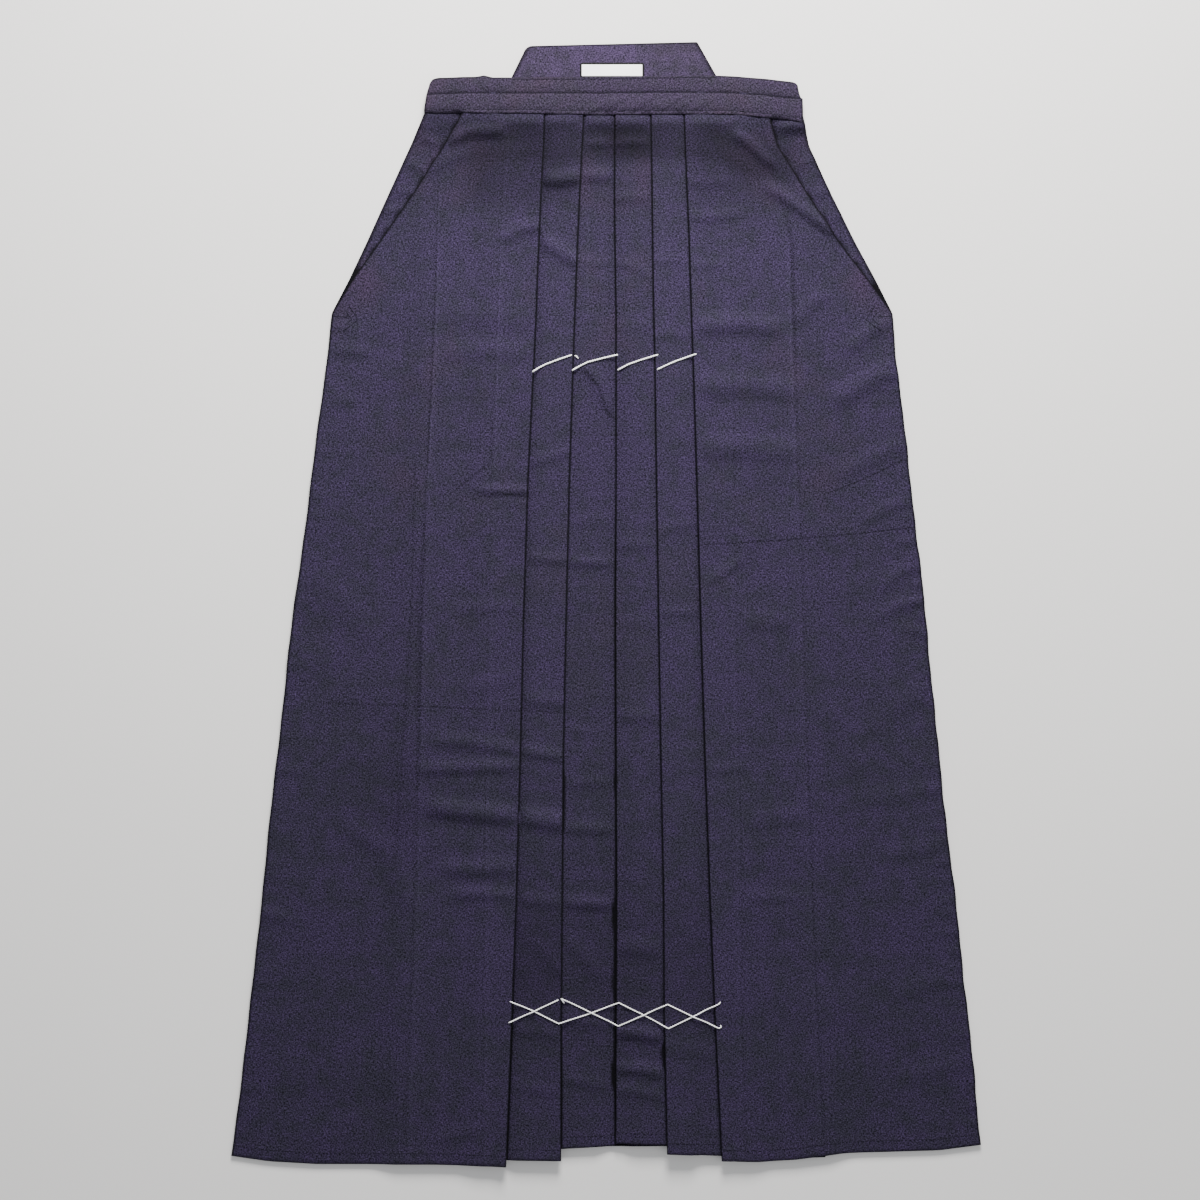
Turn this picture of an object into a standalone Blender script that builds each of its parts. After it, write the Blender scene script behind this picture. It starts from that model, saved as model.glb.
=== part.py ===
"""Hakama trousers laid flat with the front up.

Pleated front and back panels, crotch gusset, front waistband with its ties, stiff back board with its
ties, and a blank label. Right and left are the wearer's, so the wearer's right leg lies at -X. The waist
is towards +Y and the cloth lies on Z = 0. Sizes below are in millimetres, and "down" is the distance
below the waist seam, measured along the garment.
"""

import math

import bpy
from mathutils import Vector

MM = 0.001

# Cloth, and how its layers lie on each other
WALL = 1.0
GAP = 0.3
PITCH = WALL + GAP
SHOULDER = 2.5       # an upper layer stays up this far past a lower layer's edge
SLOPE = 20.0         # and comes down over this width
FOLD_STEPS = 3       # flats round a fold
FOLD_REACH = (PITCH + WALL) / 2
BEND_CLEAR = 2.5     # a bend counts when it lies this far inside a run's ends
SPARE = 0.05         # least spacing of the points across a run
BAND_SPARE = 0.6     # and along the waistband

# Places along the length
WAIST_Y = 443.8      # the waist seam, in front of the origin
PANEL_HEAD = -28.0   # the front panels reach this far up inside the waistband
BACK_HEAD = -2.5     # the back panels end just inside the waistband's lower edge
BAND_FALL = 28.4     # the front cloth comes down from the band over this length
HEM = 940.0          # about where the hem lies; HEMS gives its true curve
TO_HEM = 2000.0      # a section past every hem, which each run cuts at its own
NEAR_BAND = (14.0, 48.0)  # further sections where the cloth comes down from the band

# Pleat depths from edge to inner fold; the outer two are shallower by the slanting side edges
DEPTH_A = 95.0
DEPTH_B = 70.0
DEPTH_C = 65.0
DEPTH_D = 70.0
DEPTH_E = 94.0
WAIST_SHARE = 0.72   # of the outer pleats' depth, at the waist
FULL_DEPTH = 114.5   # how far down they reach their whole depth

# Back pleats and gusset
BACK_MIDDLE = 8.4
BACK_OPEN = 13.0     # half the distance between the back pleats at the waist
BACK_SPREAD = 7.0    # and what it gains by the hem
BACK_PLEAT_FROM_A = 12.0
BACK_PLEAT_LEFT_FOLD = 96.0
SEAM = 0.3
GUSSET_SIDE = 40.3
GUSSET_WIDTH = 33.0
GUSSET_TOP, GUSSET_BOTTOM = 422.0, 538.0
GUSSET_POINT = 24.0
GUSSET_FLOOR = 2 * PITCH

# Waistband, ties and board
BAND_BASE = 5.2      # the floor of the pleat heads inside the band
BAND_BACK = 4.4      # middle of the band's back face
BAND_BACK_FOOT = -1.5
BAND_FOLD = 2.0      # how far the fold along the top of the band reaches
TIE_HEAD, TIE_FOOT = -25.0, -3.5
TIE_FLOOR = 0.5
TIE_UPPER = BAND_BASE + WALL / 2
BACK_TIE_LAYERS = (1.8, 3.1)
BOARD_THICK = 3.6
BOARD_BASE = -2.8
BOARD_EDGE = 0.4
CORNER_STEPS = 4

# Edges of the layers across the garment: a row for each section down its length
SECTION_COLUMNS = ("down", "back_right", "front_right", "pleat_a", "pleat_b", "pleat_c",
                   "pleat_d", "pleat_e", "front_left", "back_left")
SECTIONS = (
    (0.0, -165.0, -131.0, -56.0, -20.5, 8.0, 40.5, 70.5, 147.5, 178.0),
    (28.4, -177.5, -147.5, -57.0, -22.0, 8.0, 41.0, 71.5, 155.5, 184.0),
    (69.0, -196.0, -173.5, -59.0, -24.0, 7.5, 41.5, 73.0, 181.0, 202.5),
    (114.5, -216.5, -205.0, -61.0, -26.0, 8.0, 42.0, 75.0, 210.5, 225.0),
    (150.5, -233.5, -230.5, -62.5, -27.5, 8.5, 42.5, 76.0, 238.0, 244.5),
    (180.0, -249.0, -248.5, -63.5, -28.5, 9.0, 43.0, 77.0, 259.5, 259.5),
    (223.0, -253.5, -253.5, -65.5, -30.0, 9.0, 44.0, 78.5, 263.0, 263.0),
    (331.5, -267.5, -267.5, -71.0, -33.5, 9.0, 45.5, 82.0, 276.0, 276.0),
    (458.0, -284.5, -284.5, -75.0, -36.5, 8.5, 47.5, 85.5, 290.0, 290.0),
    (585.0, -299.0, -299.0, -78.0, -39.0, 9.0, 49.5, 89.5, 302.0, 302.0),
    (711.5, -312.5, -312.5, -81.5, -40.0, 9.5, 52.0, 94.0, 316.5, 316.5),
    (820.0, -324.0, -324.0, -85.5, -41.0, 9.0, 52.5, 98.5, 328.5, 328.5),
    (933.5, -338.5, -338.5, -90.0, -41.0, 8.5, 55.0, 104.0, 339.5, 339.5),
)

# The hem of each run of cloth, as (x, down) pairs from -X to +X
HEMS = {
    "outer_right": ((-339, 944.3), (-306, 949.0), (-262, 951.5), (-154, 951.5), (-90, 953.3)),
    "return_a": ((-185, 950.0), (-90, 953.3)),
    "strip_1": ((-185, 950.0), (-89, 947.4), (-41, 948.0)),
    "return_b": ((-111, 943.0), (-41, 948.0)),
    "strip_2": ((-111, 943.0), (-35, 937.0), (-2, 935.3), (74, 934.5)),
    "return_c": ((8, 932.5), (74, 931.0)),
    "strip_3": ((8, 932.5), (55, 933.5), (125, 938.0)),
    "return_d": ((55, 941.5), (125, 938.0)),
    "strip_4": ((55, 941.5), (104, 943.5), (199, 945.0)),
    "return_e": ((104, 948.0), (199, 945.0)),
    "outer_left": ((104, 948.0), (139, 949.0), (172, 947.0), (215, 941.5), (302, 939.0), (340, 934.0)),
}
BACK_HEM = ((-340, 939.0), (-110, 944.0), (-60, 940.0), (-30, 930.0), (60, 927.0), (110, 936.0),
            (200, 937.0), (340, 929.0))

# Runs of cloth from the lowest to the topmost: their level, their edge at -X and their edge at +X
RUNS = {
    "back_outer_right": (0, "back_right", "back_edge_right"),
    "back_outer_left": (0, "back_edge_left", "back_left"),
    "back_return_right": (1, "back_fold_right", "back_edge_right"),
    "back_return_left": (1, "back_edge_left", "back_fold_left"),
    "back_inner": (2, "back_fold_right", "fold_c"),
    "strip_2": (3, "fold_b", "fold_c"),
    "return_b": (4, "fold_b", "pleat_b"),
    "return_c": (4, "pleat_c", "fold_c"),
    "strip_1": (5, "fold_a", "pleat_b"),
    "strip_3": (5, "pleat_c", "fold_d"),
    "return_a": (6, "fold_a", "pleat_a"),
    "return_d": (6, "pleat_d", "fold_d"),
    "strip_4": (7, "pleat_d", "fold_e"),
    "return_e": (8, "pleat_e", "fold_e"),
    "outer_right": (9, "front_right", "pleat_a"),
    "outer_left": (9, "pleat_e", "front_left"),
    "tie_end_right": (9, "tie_fold_right", "tie_end_right"),
    "tie_end_left": (9, "tie_end_left", "tie_fold_left"),
}
FRONT_LEVEL = 3
BAND_LEVEL = 10

# Each panel's wall as a chain of runs: run, the edge where it starts, the edge where it ends
FRONT_RIGHT_CHAIN = (
    ("outer_right", "front_right", "pleat_a"),
    ("return_a", "pleat_a", "fold_a"),
    ("strip_1", "fold_a", "pleat_b"),
    ("return_b", "pleat_b", "fold_b"),
    ("strip_2", "fold_b", "fold_c"),
)
FRONT_LEFT_CHAIN = (
    ("outer_left", "front_left", "pleat_e"),
    ("return_e", "pleat_e", "fold_e"),
    ("strip_4", "fold_e", "pleat_d"),
    ("return_d", "pleat_d", "fold_d"),
    ("strip_3", "fold_d", "pleat_c"),
    ("return_c", "pleat_c", "fold_c"),
)
BACK_RIGHT_CHAIN = (
    ("back_outer_right", "back_right", "back_edge_right"),
    ("back_return_right", "back_edge_right", "back_fold_right"),
    ("back_inner", "back_fold_right", "gusset_seam"),
)
BACK_LEFT_CHAIN = (
    ("back_outer_left", "back_left", "back_edge_left"),
    ("back_return_left", "back_edge_left", "back_fold_left"),
)

# Waistband: x of its lower edge, middle, upper edge and back face, then how far down its edges lie
BAND_COLUMNS = ("lower_x", "middle_x", "upper_x", "back_x", "top", "bottom")
BAND = (
    (-165.0, -162.5, -160.5, -159.0, -27.7, -2.4),
    (-154.0, -154.0, -154.0, -154.0, -32.2, -1.9),
    (-110.5, -110.5, -110.5, -110.5, -34.5, -1.4),
    (-85.5, -85.5, -85.5, -85.5, -32.2, -1.0),
    (0.0, 0.0, 0.0, 0.0, -33.1, 0.0),
    (100.0, 100.0, 100.0, 100.0, -34.0, 0.0),
    (120.0, 120.0, 120.0, 120.0, -33.1, 0.2),
    (145.5, 145.5, 145.5, 145.5, -30.9, 2.9),
    (168.0, 168.0, 168.0, 164.5, -28.8, 4.9),
    (178.0, 177.3, 173.5, 168.0, -28.0, 7.2),
)
BAND_MIDDLE = -17.7
TIE_FOLDS = {"right": -163.7, "left": 171.7}
TIE_ENDS = {"right": -136.0, "left": 152.0}
BACK_TIE_FOLDS = {"right": -157.0, "left": 166.0}

# Corners as (x, down, radius)
BOARD_CORNERS = (
    (-101.0, BOARD_BASE, 1.0),
    (118.0, BOARD_BASE, 1.0),
    (82.5, -65.7, 2.0),
    (-72.0, -62.0, 8.0),
)
LABEL_CORNERS = (
    (-23.0, -33.7, 2.0),
    (33.5, -33.7, 2.0),
    (33.5, -45.8, 2.0),
    (-23.0, -45.8, 2.0),
)
LABEL_THICK = 1.0

# Name, linear RGB colour and roughness of each cloth
CLOTH = ("hakama_cloth", (0.045, 0.040, 0.072), 0.9)
BAND_CLOTH = ("waistband_cloth", (0.072, 0.062, 0.105), 0.9)
BOARD_CLOTH = ("board_cloth", (0.080, 0.062, 0.130), 0.85)
LABEL_CLOTH = ("label_cloth", (0.82, 0.82, 0.80), 0.8)


def table(pairs, x):
    """Value at x on straight lines through (x, value) pairs, level past the ends."""
    if x <= pairs[0][0]:
        return pairs[0][1]
    for (x0, v0), (x1, v1) in zip(pairs, pairs[1:]):
        if x <= x1:
            return v0 + (v1 - v0) * (x - x0) / (x1 - x0)
    return pairs[-1][1]


def section_edge(name, down):
    """An edge's x from SECTIONS, carried on straight past the last row."""
    place = SECTION_COLUMNS.index(name)
    rows = [(row[0], row[place]) for row in SECTIONS]
    (d0, x0), (d1, x1) = rows[-2:]
    if down > d1:
        return x1 + (x1 - x0) * (down - d1) / (d1 - d0)
    return table(rows, down)


def edge(name, down):
    """The x of any edge or inner fold by its name."""
    if name in SECTION_COLUMNS:
        return section_edge(name, down)
    pleat_a, pleat_e = section_edge("pleat_a", down), section_edge("pleat_e", down)
    depth_share = WAIST_SHARE + (1.0 - WAIST_SHARE) * min(max(down / FULL_DEPTH, 0.0), 1.0)
    back_half = BACK_OPEN + BACK_SPREAD * min(max(down / HEM, 0.0), 1.0)
    places = {
        "fold_a": pleat_a - DEPTH_A * depth_share,
        "fold_b": section_edge("pleat_b", down) - DEPTH_B,
        "fold_c": section_edge("pleat_c", down) + DEPTH_C,
        "fold_d": section_edge("pleat_d", down) + DEPTH_D,
        "fold_e": pleat_e + DEPTH_E * depth_share,
        "back_edge_right": BACK_MIDDLE - back_half,
        "back_edge_left": BACK_MIDDLE + back_half,
        "back_fold_right": pleat_a + BACK_PLEAT_FROM_A,
        "back_fold_left": BACK_PLEAT_LEFT_FOLD,
        "gusset_seam": GUSSET_SIDE - SEAM,
        "tie_fold_right": TIE_FOLDS["right"],
        "tie_fold_left": TIE_FOLDS["left"],
        "tie_end_right": TIE_ENDS["right"],
        "tie_end_left": TIE_ENDS["left"],
    }
    return places[name]


def cover(run, x, down):
    """1 where a run holds up what lies on it, falling to 0 past its edges."""
    low, high = (edge(name, down) for name in RUNS[run][1:])
    past = max(low - SHOULDER - x, x - high - SHOULDER, 0.0)
    return max(0.0, 1.0 - past / SLOPE)


def height(level, x, down):
    """Middle of the wall of a run on the given level."""
    back = sum(cover(run, x, down) for run in RUNS if RUNS[run][0] < min(level, FRONT_LEVEL))
    if level < FRONT_LEVEL:
        return WALL / 2 + PITCH * back
    front = sum(cover(run, x, down) for run in RUNS if FRONT_LEVEL <= RUNS[run][0] < level)
    lift = min(max(1.0 - down / BAND_FALL, 0.0), 1.0)
    base = PITCH * back * (1.0 - lift) + BAND_BASE * lift
    return WALL / 2 + base + PITCH * front


def kinks(level, down):
    """The x of each bend that lower layers give to a level's cloth, and of the folds that lie on it."""
    found = {}
    for run_level, low, high in RUNS.values():
        if run_level < level:
            offsets = (-SHOULDER - SLOPE, -SHOULDER), (SHOULDER, SHOULDER + SLOPE)
        elif run_level > level >= FRONT_LEVEL:
            offsets = (FOLD_REACH,), (-FOLD_REACH,)
        else:
            continue
        for name, steps in zip((low, high), offsets):
            for step in steps:
                found[name, step] = edge(name, down) + step
    return found


def own_down(run, x, down):
    """How far down a section crosses a run: its own distance, or the run's hem on the last section."""
    return min(down, table(HEMS.get(run, BACK_HEM), x))


def kept_bends(run, start, end, downs):
    """The bends that fall inside a run on at least one section."""
    kept = set()
    for down in downs:
        here = min(down, HEM)
        low, high = sorted((edge(start, here), edge(end, here)))
        kept |= {key for key, x in kinks(RUNS[run][0], here).items()
                 if low + BEND_CLEAR < x < high - BEND_CLEAR}
    return sorted(kept)


def run_places(run, start, end, bends, down, folded):
    """The x of a run's points on one section, from its start to its end."""
    first, last = (edge(name, own_down(run, edge(name, min(down, HEM)), down)) for name in (start, end))
    heading = 1 if last > first else -1
    first += heading * FOLD_REACH * folded[0]
    last -= heading * FOLD_REACH * folded[1]
    low, high = min(first, last), max(first, last)
    level = RUNS[run][0]
    near = kinks(level, min(down, HEM))
    found = sorted(kinks(level, own_down(run, near[key], down))[key] for key in bends)
    for i, x in enumerate(found):
        found[i] = min(max(x, low + SPARE * (i + 1)), high - SPARE * (len(found) - i))
    places = [low] + found + [high]
    return places if heading > 0 else places[::-1]


def across(x, y, z, heading):
    """The pair of wall points at a place: the one left of the way the cloth runs, then the right one."""
    return (x, y, z + heading * WALL / 2), (x, y, z - heading * WALL / 2)


def fold(x_edge, y, heading, start_z, end_z):
    """Pairs round a fold, between the run that arrives with this heading and the one that leaves."""
    middle, half = (start_z + end_z) / 2, abs(start_z - end_z) / 2
    centre = x_edge - heading * (half + WALL / 2)
    falling = 1 if start_z > end_z else -1
    left = WALL / 2 * heading * falling
    pairs = []
    for step in range(1, FOLD_STEPS):
        angle = math.pi * (0.5 - step / FOLD_STEPS)
        pairs.append(tuple((centre + heading * (half + side) * math.cos(angle), y,
                            middle + falling * (half + side) * math.sin(angle)) for side in (left, -left)))
    return pairs


def folded_row(chain, bends, down):
    """Pairs along one section of a folded panel, run after run."""
    row = []
    for place, (run, start, end) in enumerate(chain):
        level = RUNS[run][0]
        folded = place > 0, place < len(chain) - 1
        places = run_places(run, start, end, bends[run], down, folded)
        heading = 1 if places[-1] > places[0] else -1
        for x in places:
            own = own_down(run, x, down)
            row.append(across(x, WAIST_Y - own, height(level, x, own), heading))
        if folded[1]:
            x, next_level = places[-1], RUNS[chain[place + 1][0]][0]
            own = own_down(run, x, down)
            row += fold(x + heading * FOLD_REACH, WAIST_Y - own, heading,
                        height(level, x, own), height(next_level, x, own))
    return row


def add_panel(name, chain, first_downs):
    """A pleated panel: one wall folded through its chain of runs, from its head to its hem."""
    downs = sorted((*first_downs, *NEAR_BAND, *(row[0] for row in SECTIONS[1:-1]), TO_HEM))
    bends = {run: kept_bends(run, start, end, downs) for run, start, end in chain}
    return add_wall(name, [folded_row(chain, bends, down) for down in downs], CLOTH)


def cloth_material(cloth):
    """The Principled material of one cloth, made once."""
    name, colour, roughness = cloth
    material = bpy.data.materials.get(name)
    if material is None:
        material = bpy.data.materials.new(name)
        material.use_nodes = True
        shader = material.node_tree.nodes["Principled BSDF"]
        shader.inputs["Base Color"].default_value = (*colour, 1.0)
        shader.inputs["Roughness"].default_value = roughness
        shader.inputs["Metallic"].default_value = 0.0
    return material


def add_object(name, verts, faces, cloth):
    """A mesh object from points in millimetres, with its faces turned outwards."""
    mesh = bpy.data.meshes.new(name)
    mesh.from_pydata([(x * MM, y * MM, z * MM) for x, y, z in verts], [], faces)
    mesh.materials.append(cloth_material(cloth))
    mesh.calc_loop_triangles()
    volume = 0.0
    for triangle in mesh.loop_triangles:
        a, b, c = (mesh.vertices[i].co for i in triangle.vertices)
        volume += a.dot(b.cross(c))
    if volume < 0:
        mesh.flip_normals()
    obj = bpy.data.objects.new(name, mesh)
    bpy.context.scene.collection.objects.link(obj)
    return obj


def add_wall(name, rows, cloth):
    """A closed wall through rows of (left, right) pairs, with the same count in every row.

    Each quad is cut from its corner of lower x in one row to its corner of higher x in the next, so
    that walls lying on each other bend along the same lines.
    """
    count = len(rows[0])
    verts = [pair[side] for row in rows for side in (0, 1) for pair in row]

    def at(row, i, side):
        return (row * 2 + side) * count + i

    faces = []
    for row in range(len(rows) - 1):
        for side in (0, 1):
            for i in range(count - 1):
                a, b = at(row, i, side), at(row, i + 1, side)
                c, d = at(row + 1, i + 1, side), at(row + 1, i, side)
                halves = ((a, b, c), (a, c, d)) if verts[a][0] <= verts[b][0] else ((b, c, d), (b, d, a))
                faces += [half[::-1] if side else half for half in halves]
        for i, last in ((0, False), (count - 1, True)):
            quad = (at(row, i, 0), at(row + 1, i, 0), at(row + 1, i, 1), at(row, i, 1))
            faces.append(quad[::-1] if last else quad)
    for row, last in ((0, False), (len(rows) - 1, True)):
        for i in range(count - 1):
            quad = (at(row, i, 0), at(row, i, 1), at(row, i + 1, 1), at(row, i + 1, 0))
            faces.append(quad[::-1] if last else quad)
    return add_object(name, verts, faces, cloth)


def rounded_ring(corners, inset, z):
    """Points round a convex outline of (x, down, radius) corners, moved in by an inset."""
    ring = []
    for i, (x, down, radius) in enumerate(corners):
        here = Vector((x, WAIST_Y - down))
        sides = [(Vector((other[0], WAIST_Y - other[1])) - here).normalized()
                 for other in (corners[i - 1], corners[(i + 1) % len(corners)])]
        inward = (sides[0] + sides[1]).normalized()
        centre = here + inward * radius / abs(inward.cross(sides[0]))
        touch = [here + side * (centre - here).dot(side) - centre for side in sides]
        for step in range(CORNER_STEPS + 1):
            spoke = touch[0].lerp(touch[1], step / CORNER_STEPS).normalized()
            point = centre + spoke * (radius - inset)
            ring.append((point.x, point.y, z))
    return ring


def add_slab(name, corners, low, high, cloth):
    """A flat piece with rounded corners and bevelled rims."""
    bevel = min(BOARD_EDGE, (high - low) / 4)
    levels = ((bevel, low), (0.0, low + bevel), (0.0, high - bevel), (bevel, high))
    rings = [rounded_ring(corners, inset, z) for inset, z in levels]
    count = len(rings[0])
    faces = [tuple(range(count))[::-1], tuple(range(3 * count, 4 * count))]
    for level in range(3):
        lower, upper = level * count, (level + 1) * count
        for i in range(count):
            j = (i + 1) % count
            faces.append((lower + i, lower + j, upper + j, upper + i))
    return add_object(name, [point for ring in rings for point in ring], faces, cloth)


def board_side(side, down):
    """The x of the board's slanting side edge."""
    base, top = (BOARD_CORNERS[0], BOARD_CORNERS[3]) if side == "right" else BOARD_CORNERS[1:3]
    return base[0] + (top[0] - base[0]) * (down - base[1]) / (top[1] - base[1])


def add_tie(name, start_ends, fold_x, start_z, end_z):
    """A tie that runs out to its fold and back, its two ends given as functions of how far down."""
    rows = []
    for down in (TIE_HEAD, TIE_FOOT):
        start, end = (place(down) for place in start_ends)
        y = WAIST_Y - down
        heading = 1 if fold_x > start else -1
        turn = fold_x - heading * (abs(start_z - end_z) + WALL) / 2
        rows.append([across(start, y, start_z, heading), across(turn, y, start_z, heading)]
                    + fold(fold_x, y, heading, start_z, end_z)
                    + [across(turn, y, end_z, -heading), across(end, y, end_z, -heading)])
    return add_wall(name, rows, BAND_CLOTH)


def add_ties():
    """The front ties, turned under at the band's ends, and the back ties, folded beside the board."""
    for side, outward in (("right", -1), ("left", 1)):
        def beside_board(down, side=side, outward=outward):
            return board_side(side, down) + outward * SEAM

        def in_band(down, side=side):
            return TIE_ENDS[side]

        add_tie(f"front_tie_{side}", (beside_board, in_band), TIE_FOLDS[side], TIE_FLOOR, TIE_UPPER)
        add_tie(f"back_tie_{side}", (beside_board, beside_board), BACK_TIE_FOLDS[side], *BACK_TIE_LAYERS)


def band_value(name, x):
    """A column of BAND read at the x of the band's lower edge."""
    place = BAND_COLUMNS.index(name)
    return table([(row[0], row[place]) for row in BAND], x)


def band_row(x):
    """Pairs up the band's face, over its top fold and down its back, at one place along it."""
    top, bottom = band_value("top", x), band_value("bottom", x)
    upper_x, back_x = band_value("upper_x", x), band_value("back_x", x)
    face_z = height(BAND_LEVEL, x, 0.0)
    middle, half = (face_z + BAND_BACK) / 2, (face_z - BAND_BACK) / 2
    centre = top + BAND_FOLD
    face = ((x, bottom), (band_value("middle_x", x), BAND_MIDDLE), (upper_x, centre))
    row = [((place, WAIST_Y - down, face_z + WALL / 2), (place, WAIST_Y - down, face_z - WALL / 2))
           for place, down in face]
    for step in range(1, FOLD_STEPS):
        angle = math.pi * (0.5 - step / FOLD_STEPS)
        place_x = upper_x + (back_x - upper_x) * step / FOLD_STEPS
        row.append(tuple((place_x, WAIST_Y - centre + reach * math.cos(angle),
                          middle + (half + side) * math.sin(angle))
                         for reach, side in ((BAND_FOLD, WALL / 2), (BAND_FOLD - WALL, -WALL / 2))))
    for down in (centre, BAND_BACK_FOOT + min(bottom, 0.0)):
        row.append(tuple((back_x, WAIST_Y - down, BAND_BACK + side) for side in (-WALL / 2, WALL / 2)))
    return row


def add_waistband():
    """The band over the pleat heads, its face bent to the layers under it."""
    low, high = BAND[0][0], BAND[-1][0]
    places = {row[0] for row in BAND} | {x for x in kinks(BAND_LEVEL, 0.0).values() if low < x < high}
    kept = []
    for x in sorted(places):
        if not kept or x - kept[-1] > BAND_SPARE:
            kept.append(x)
    return add_wall("front_waistband", [band_row(x) for x in kept], BAND_CLOTH)


def add_gusset():
    """The gusset between the legs, lying flat among the hidden layers."""
    middle_x = GUSSET_SIDE + GUSSET_WIDTH / 2
    corners = (
        (GUSSET_SIDE, GUSSET_TOP + GUSSET_POINT, 1.0),
        (GUSSET_SIDE, GUSSET_BOTTOM - GUSSET_POINT, 1.0),
        (middle_x, GUSSET_BOTTOM, 1.0),
        (GUSSET_SIDE + GUSSET_WIDTH, GUSSET_BOTTOM - GUSSET_POINT, 1.0),
        (GUSSET_SIDE + GUSSET_WIDTH, GUSSET_TOP + GUSSET_POINT, 1.0),
        (middle_x, GUSSET_TOP, 1.0),
    )
    return add_slab("crotch_gusset", corners, GUSSET_FLOOR, GUSSET_FLOOR + WALL, CLOTH)


def main():
    for obj in list(bpy.data.objects):
        bpy.data.objects.remove(obj, do_unlink=True)
    add_panel("back_panel_right", BACK_RIGHT_CHAIN, (BACK_HEAD,))
    add_panel("back_panel_left", BACK_LEFT_CHAIN, (BACK_HEAD,))
    add_gusset()
    add_panel("front_panel_right", FRONT_RIGHT_CHAIN, (PANEL_HEAD, 0.0))
    add_panel("front_panel_left", FRONT_LEFT_CHAIN, (PANEL_HEAD, 0.0))
    add_waistband()
    add_ties()
    add_slab("back_board", BOARD_CORNERS, 0.0, BOARD_THICK, BOARD_CLOTH)
    add_slab("blank_label", LABEL_CORNERS, BOARD_THICK + GAP, BOARD_THICK + GAP + LABEL_THICK, LABEL_CLOTH)


main()
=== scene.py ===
"""Hakama trousers laid flat with the front up, dressed in cloth.

Run as a script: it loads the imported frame, makes each piece of cloth, the sewing, the basting threads and
the stage, and rides them all on the frame's one body. Sizes are in millimetres until a mesh is made, and
"down" is the distance below the waist seam. Right and left are the wearer's, so right lies at -X.
"""

import math

import bpy
import numpy as np
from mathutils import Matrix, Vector


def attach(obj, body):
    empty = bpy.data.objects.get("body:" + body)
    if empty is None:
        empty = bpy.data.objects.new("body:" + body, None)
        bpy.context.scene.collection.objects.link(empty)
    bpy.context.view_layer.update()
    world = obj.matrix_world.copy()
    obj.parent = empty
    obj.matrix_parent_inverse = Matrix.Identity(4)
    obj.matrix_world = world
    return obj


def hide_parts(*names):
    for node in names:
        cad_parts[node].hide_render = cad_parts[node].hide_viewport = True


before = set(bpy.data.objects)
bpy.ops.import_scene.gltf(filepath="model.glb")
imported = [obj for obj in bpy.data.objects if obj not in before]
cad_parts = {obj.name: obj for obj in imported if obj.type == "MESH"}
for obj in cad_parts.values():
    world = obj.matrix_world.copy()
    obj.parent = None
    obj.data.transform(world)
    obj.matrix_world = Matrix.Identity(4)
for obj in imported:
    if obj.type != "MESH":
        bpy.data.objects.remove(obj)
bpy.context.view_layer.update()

bl_info = {
    "name": "Hakama Trousers",
    "version": (1, 0, 0),
    "blender": (4, 5, 0),
    "location": "View3D > Sidebar > Hakama",
    "description": "Pleated hakama trousers laid flat, with waistband, back board and basting threads",
    "category": "Object",
}

MM = 0.001
BODY = "root"

# Layers and how they lie on each other
PITCH = 1.3          # from the middle of one layer to that of the next
SHOULDER = 1.5       # how far past its edge a layer still bears
SLOPE = 13.0         # how far cloth takes to come down off an edge
OUTER_SLOPE = 26.0   # and the same for the topmost cloth
FOLD_REACH = (PITCH + 1.0) / 2
FOLD_STEPS = 6
FOLD_SHADES = (0.6, 1.0, 1.0, 1.0, 1.0)    # round a fold, from its upper side

# Places along the length
WAIST_Y = 443.8
PANEL_HEAD = -20.0
BACK_HEAD = -2.5
BAND_FALL = 28.4     # where the cloth has come down from the height of the band
PRESS = 0.42         # how much the pleat heads are pressed together inside the band
PRESS_LENGTH = 18.0  # and how far below the band that goes
HEM = 940.0
TAIL = 900.0         # where the rows begin to turn towards the line of the hem
MIDWAY = 500.0       # a section where every edge stands in its usual order
ROW_SPACING = 3.3
CLOSE_ROWS = (-4.0, 9.0, 0.8)    # from, to and spacing of the closer rows under the band's lower edge
SHOWN_SPACING, BACK_SPACING, HIDDEN_SPACING = 6.2, 6.2, 12.0
EDGE_STEPS = (0.9, 1.8, 3.0, 5.2)    # columns beside an edge that shows, on runs wider than NARROW
NARROW = 16.0
TAIL_ROWS = 14
HEM_TURN, SLIT_TURN = 12.5, 9.5      # how wide the cloth is doubled at a hem and at a slit

# Inner folds: the edge that each lies beside, how far from it along X, and whether that is less at the waist
PLEAT_DEPTHS = {
    "fold_a": ("pleat_a", -95.0, True),
    "fold_b": ("pleat_b", -70.0, False),
    "fold_c": ("pleat_c", 65.0, False),
    "fold_d": ("pleat_d", 70.0, False),
    "fold_e": ("pleat_e", 94.0, True),
    "back_fold_right": ("pleat_a", 12.0, False),
}
WAIST_SHARE = 0.72   # share of such a depth at the waist
FULL_DEPTH = 114.5   # where they are whole

# Back pleats and gusset
BACK_MIDDLE, BACK_OPEN, BACK_SPREAD = 8.4, 13.0, 7.0
GUSSET_SIDE, GUSSET_WIDTH = 40.3, 33.0
GUSSET_TOP, GUSSET_BOTTOM, GUSSET_POINT = 422.0, 538.0, 24.0

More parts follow.
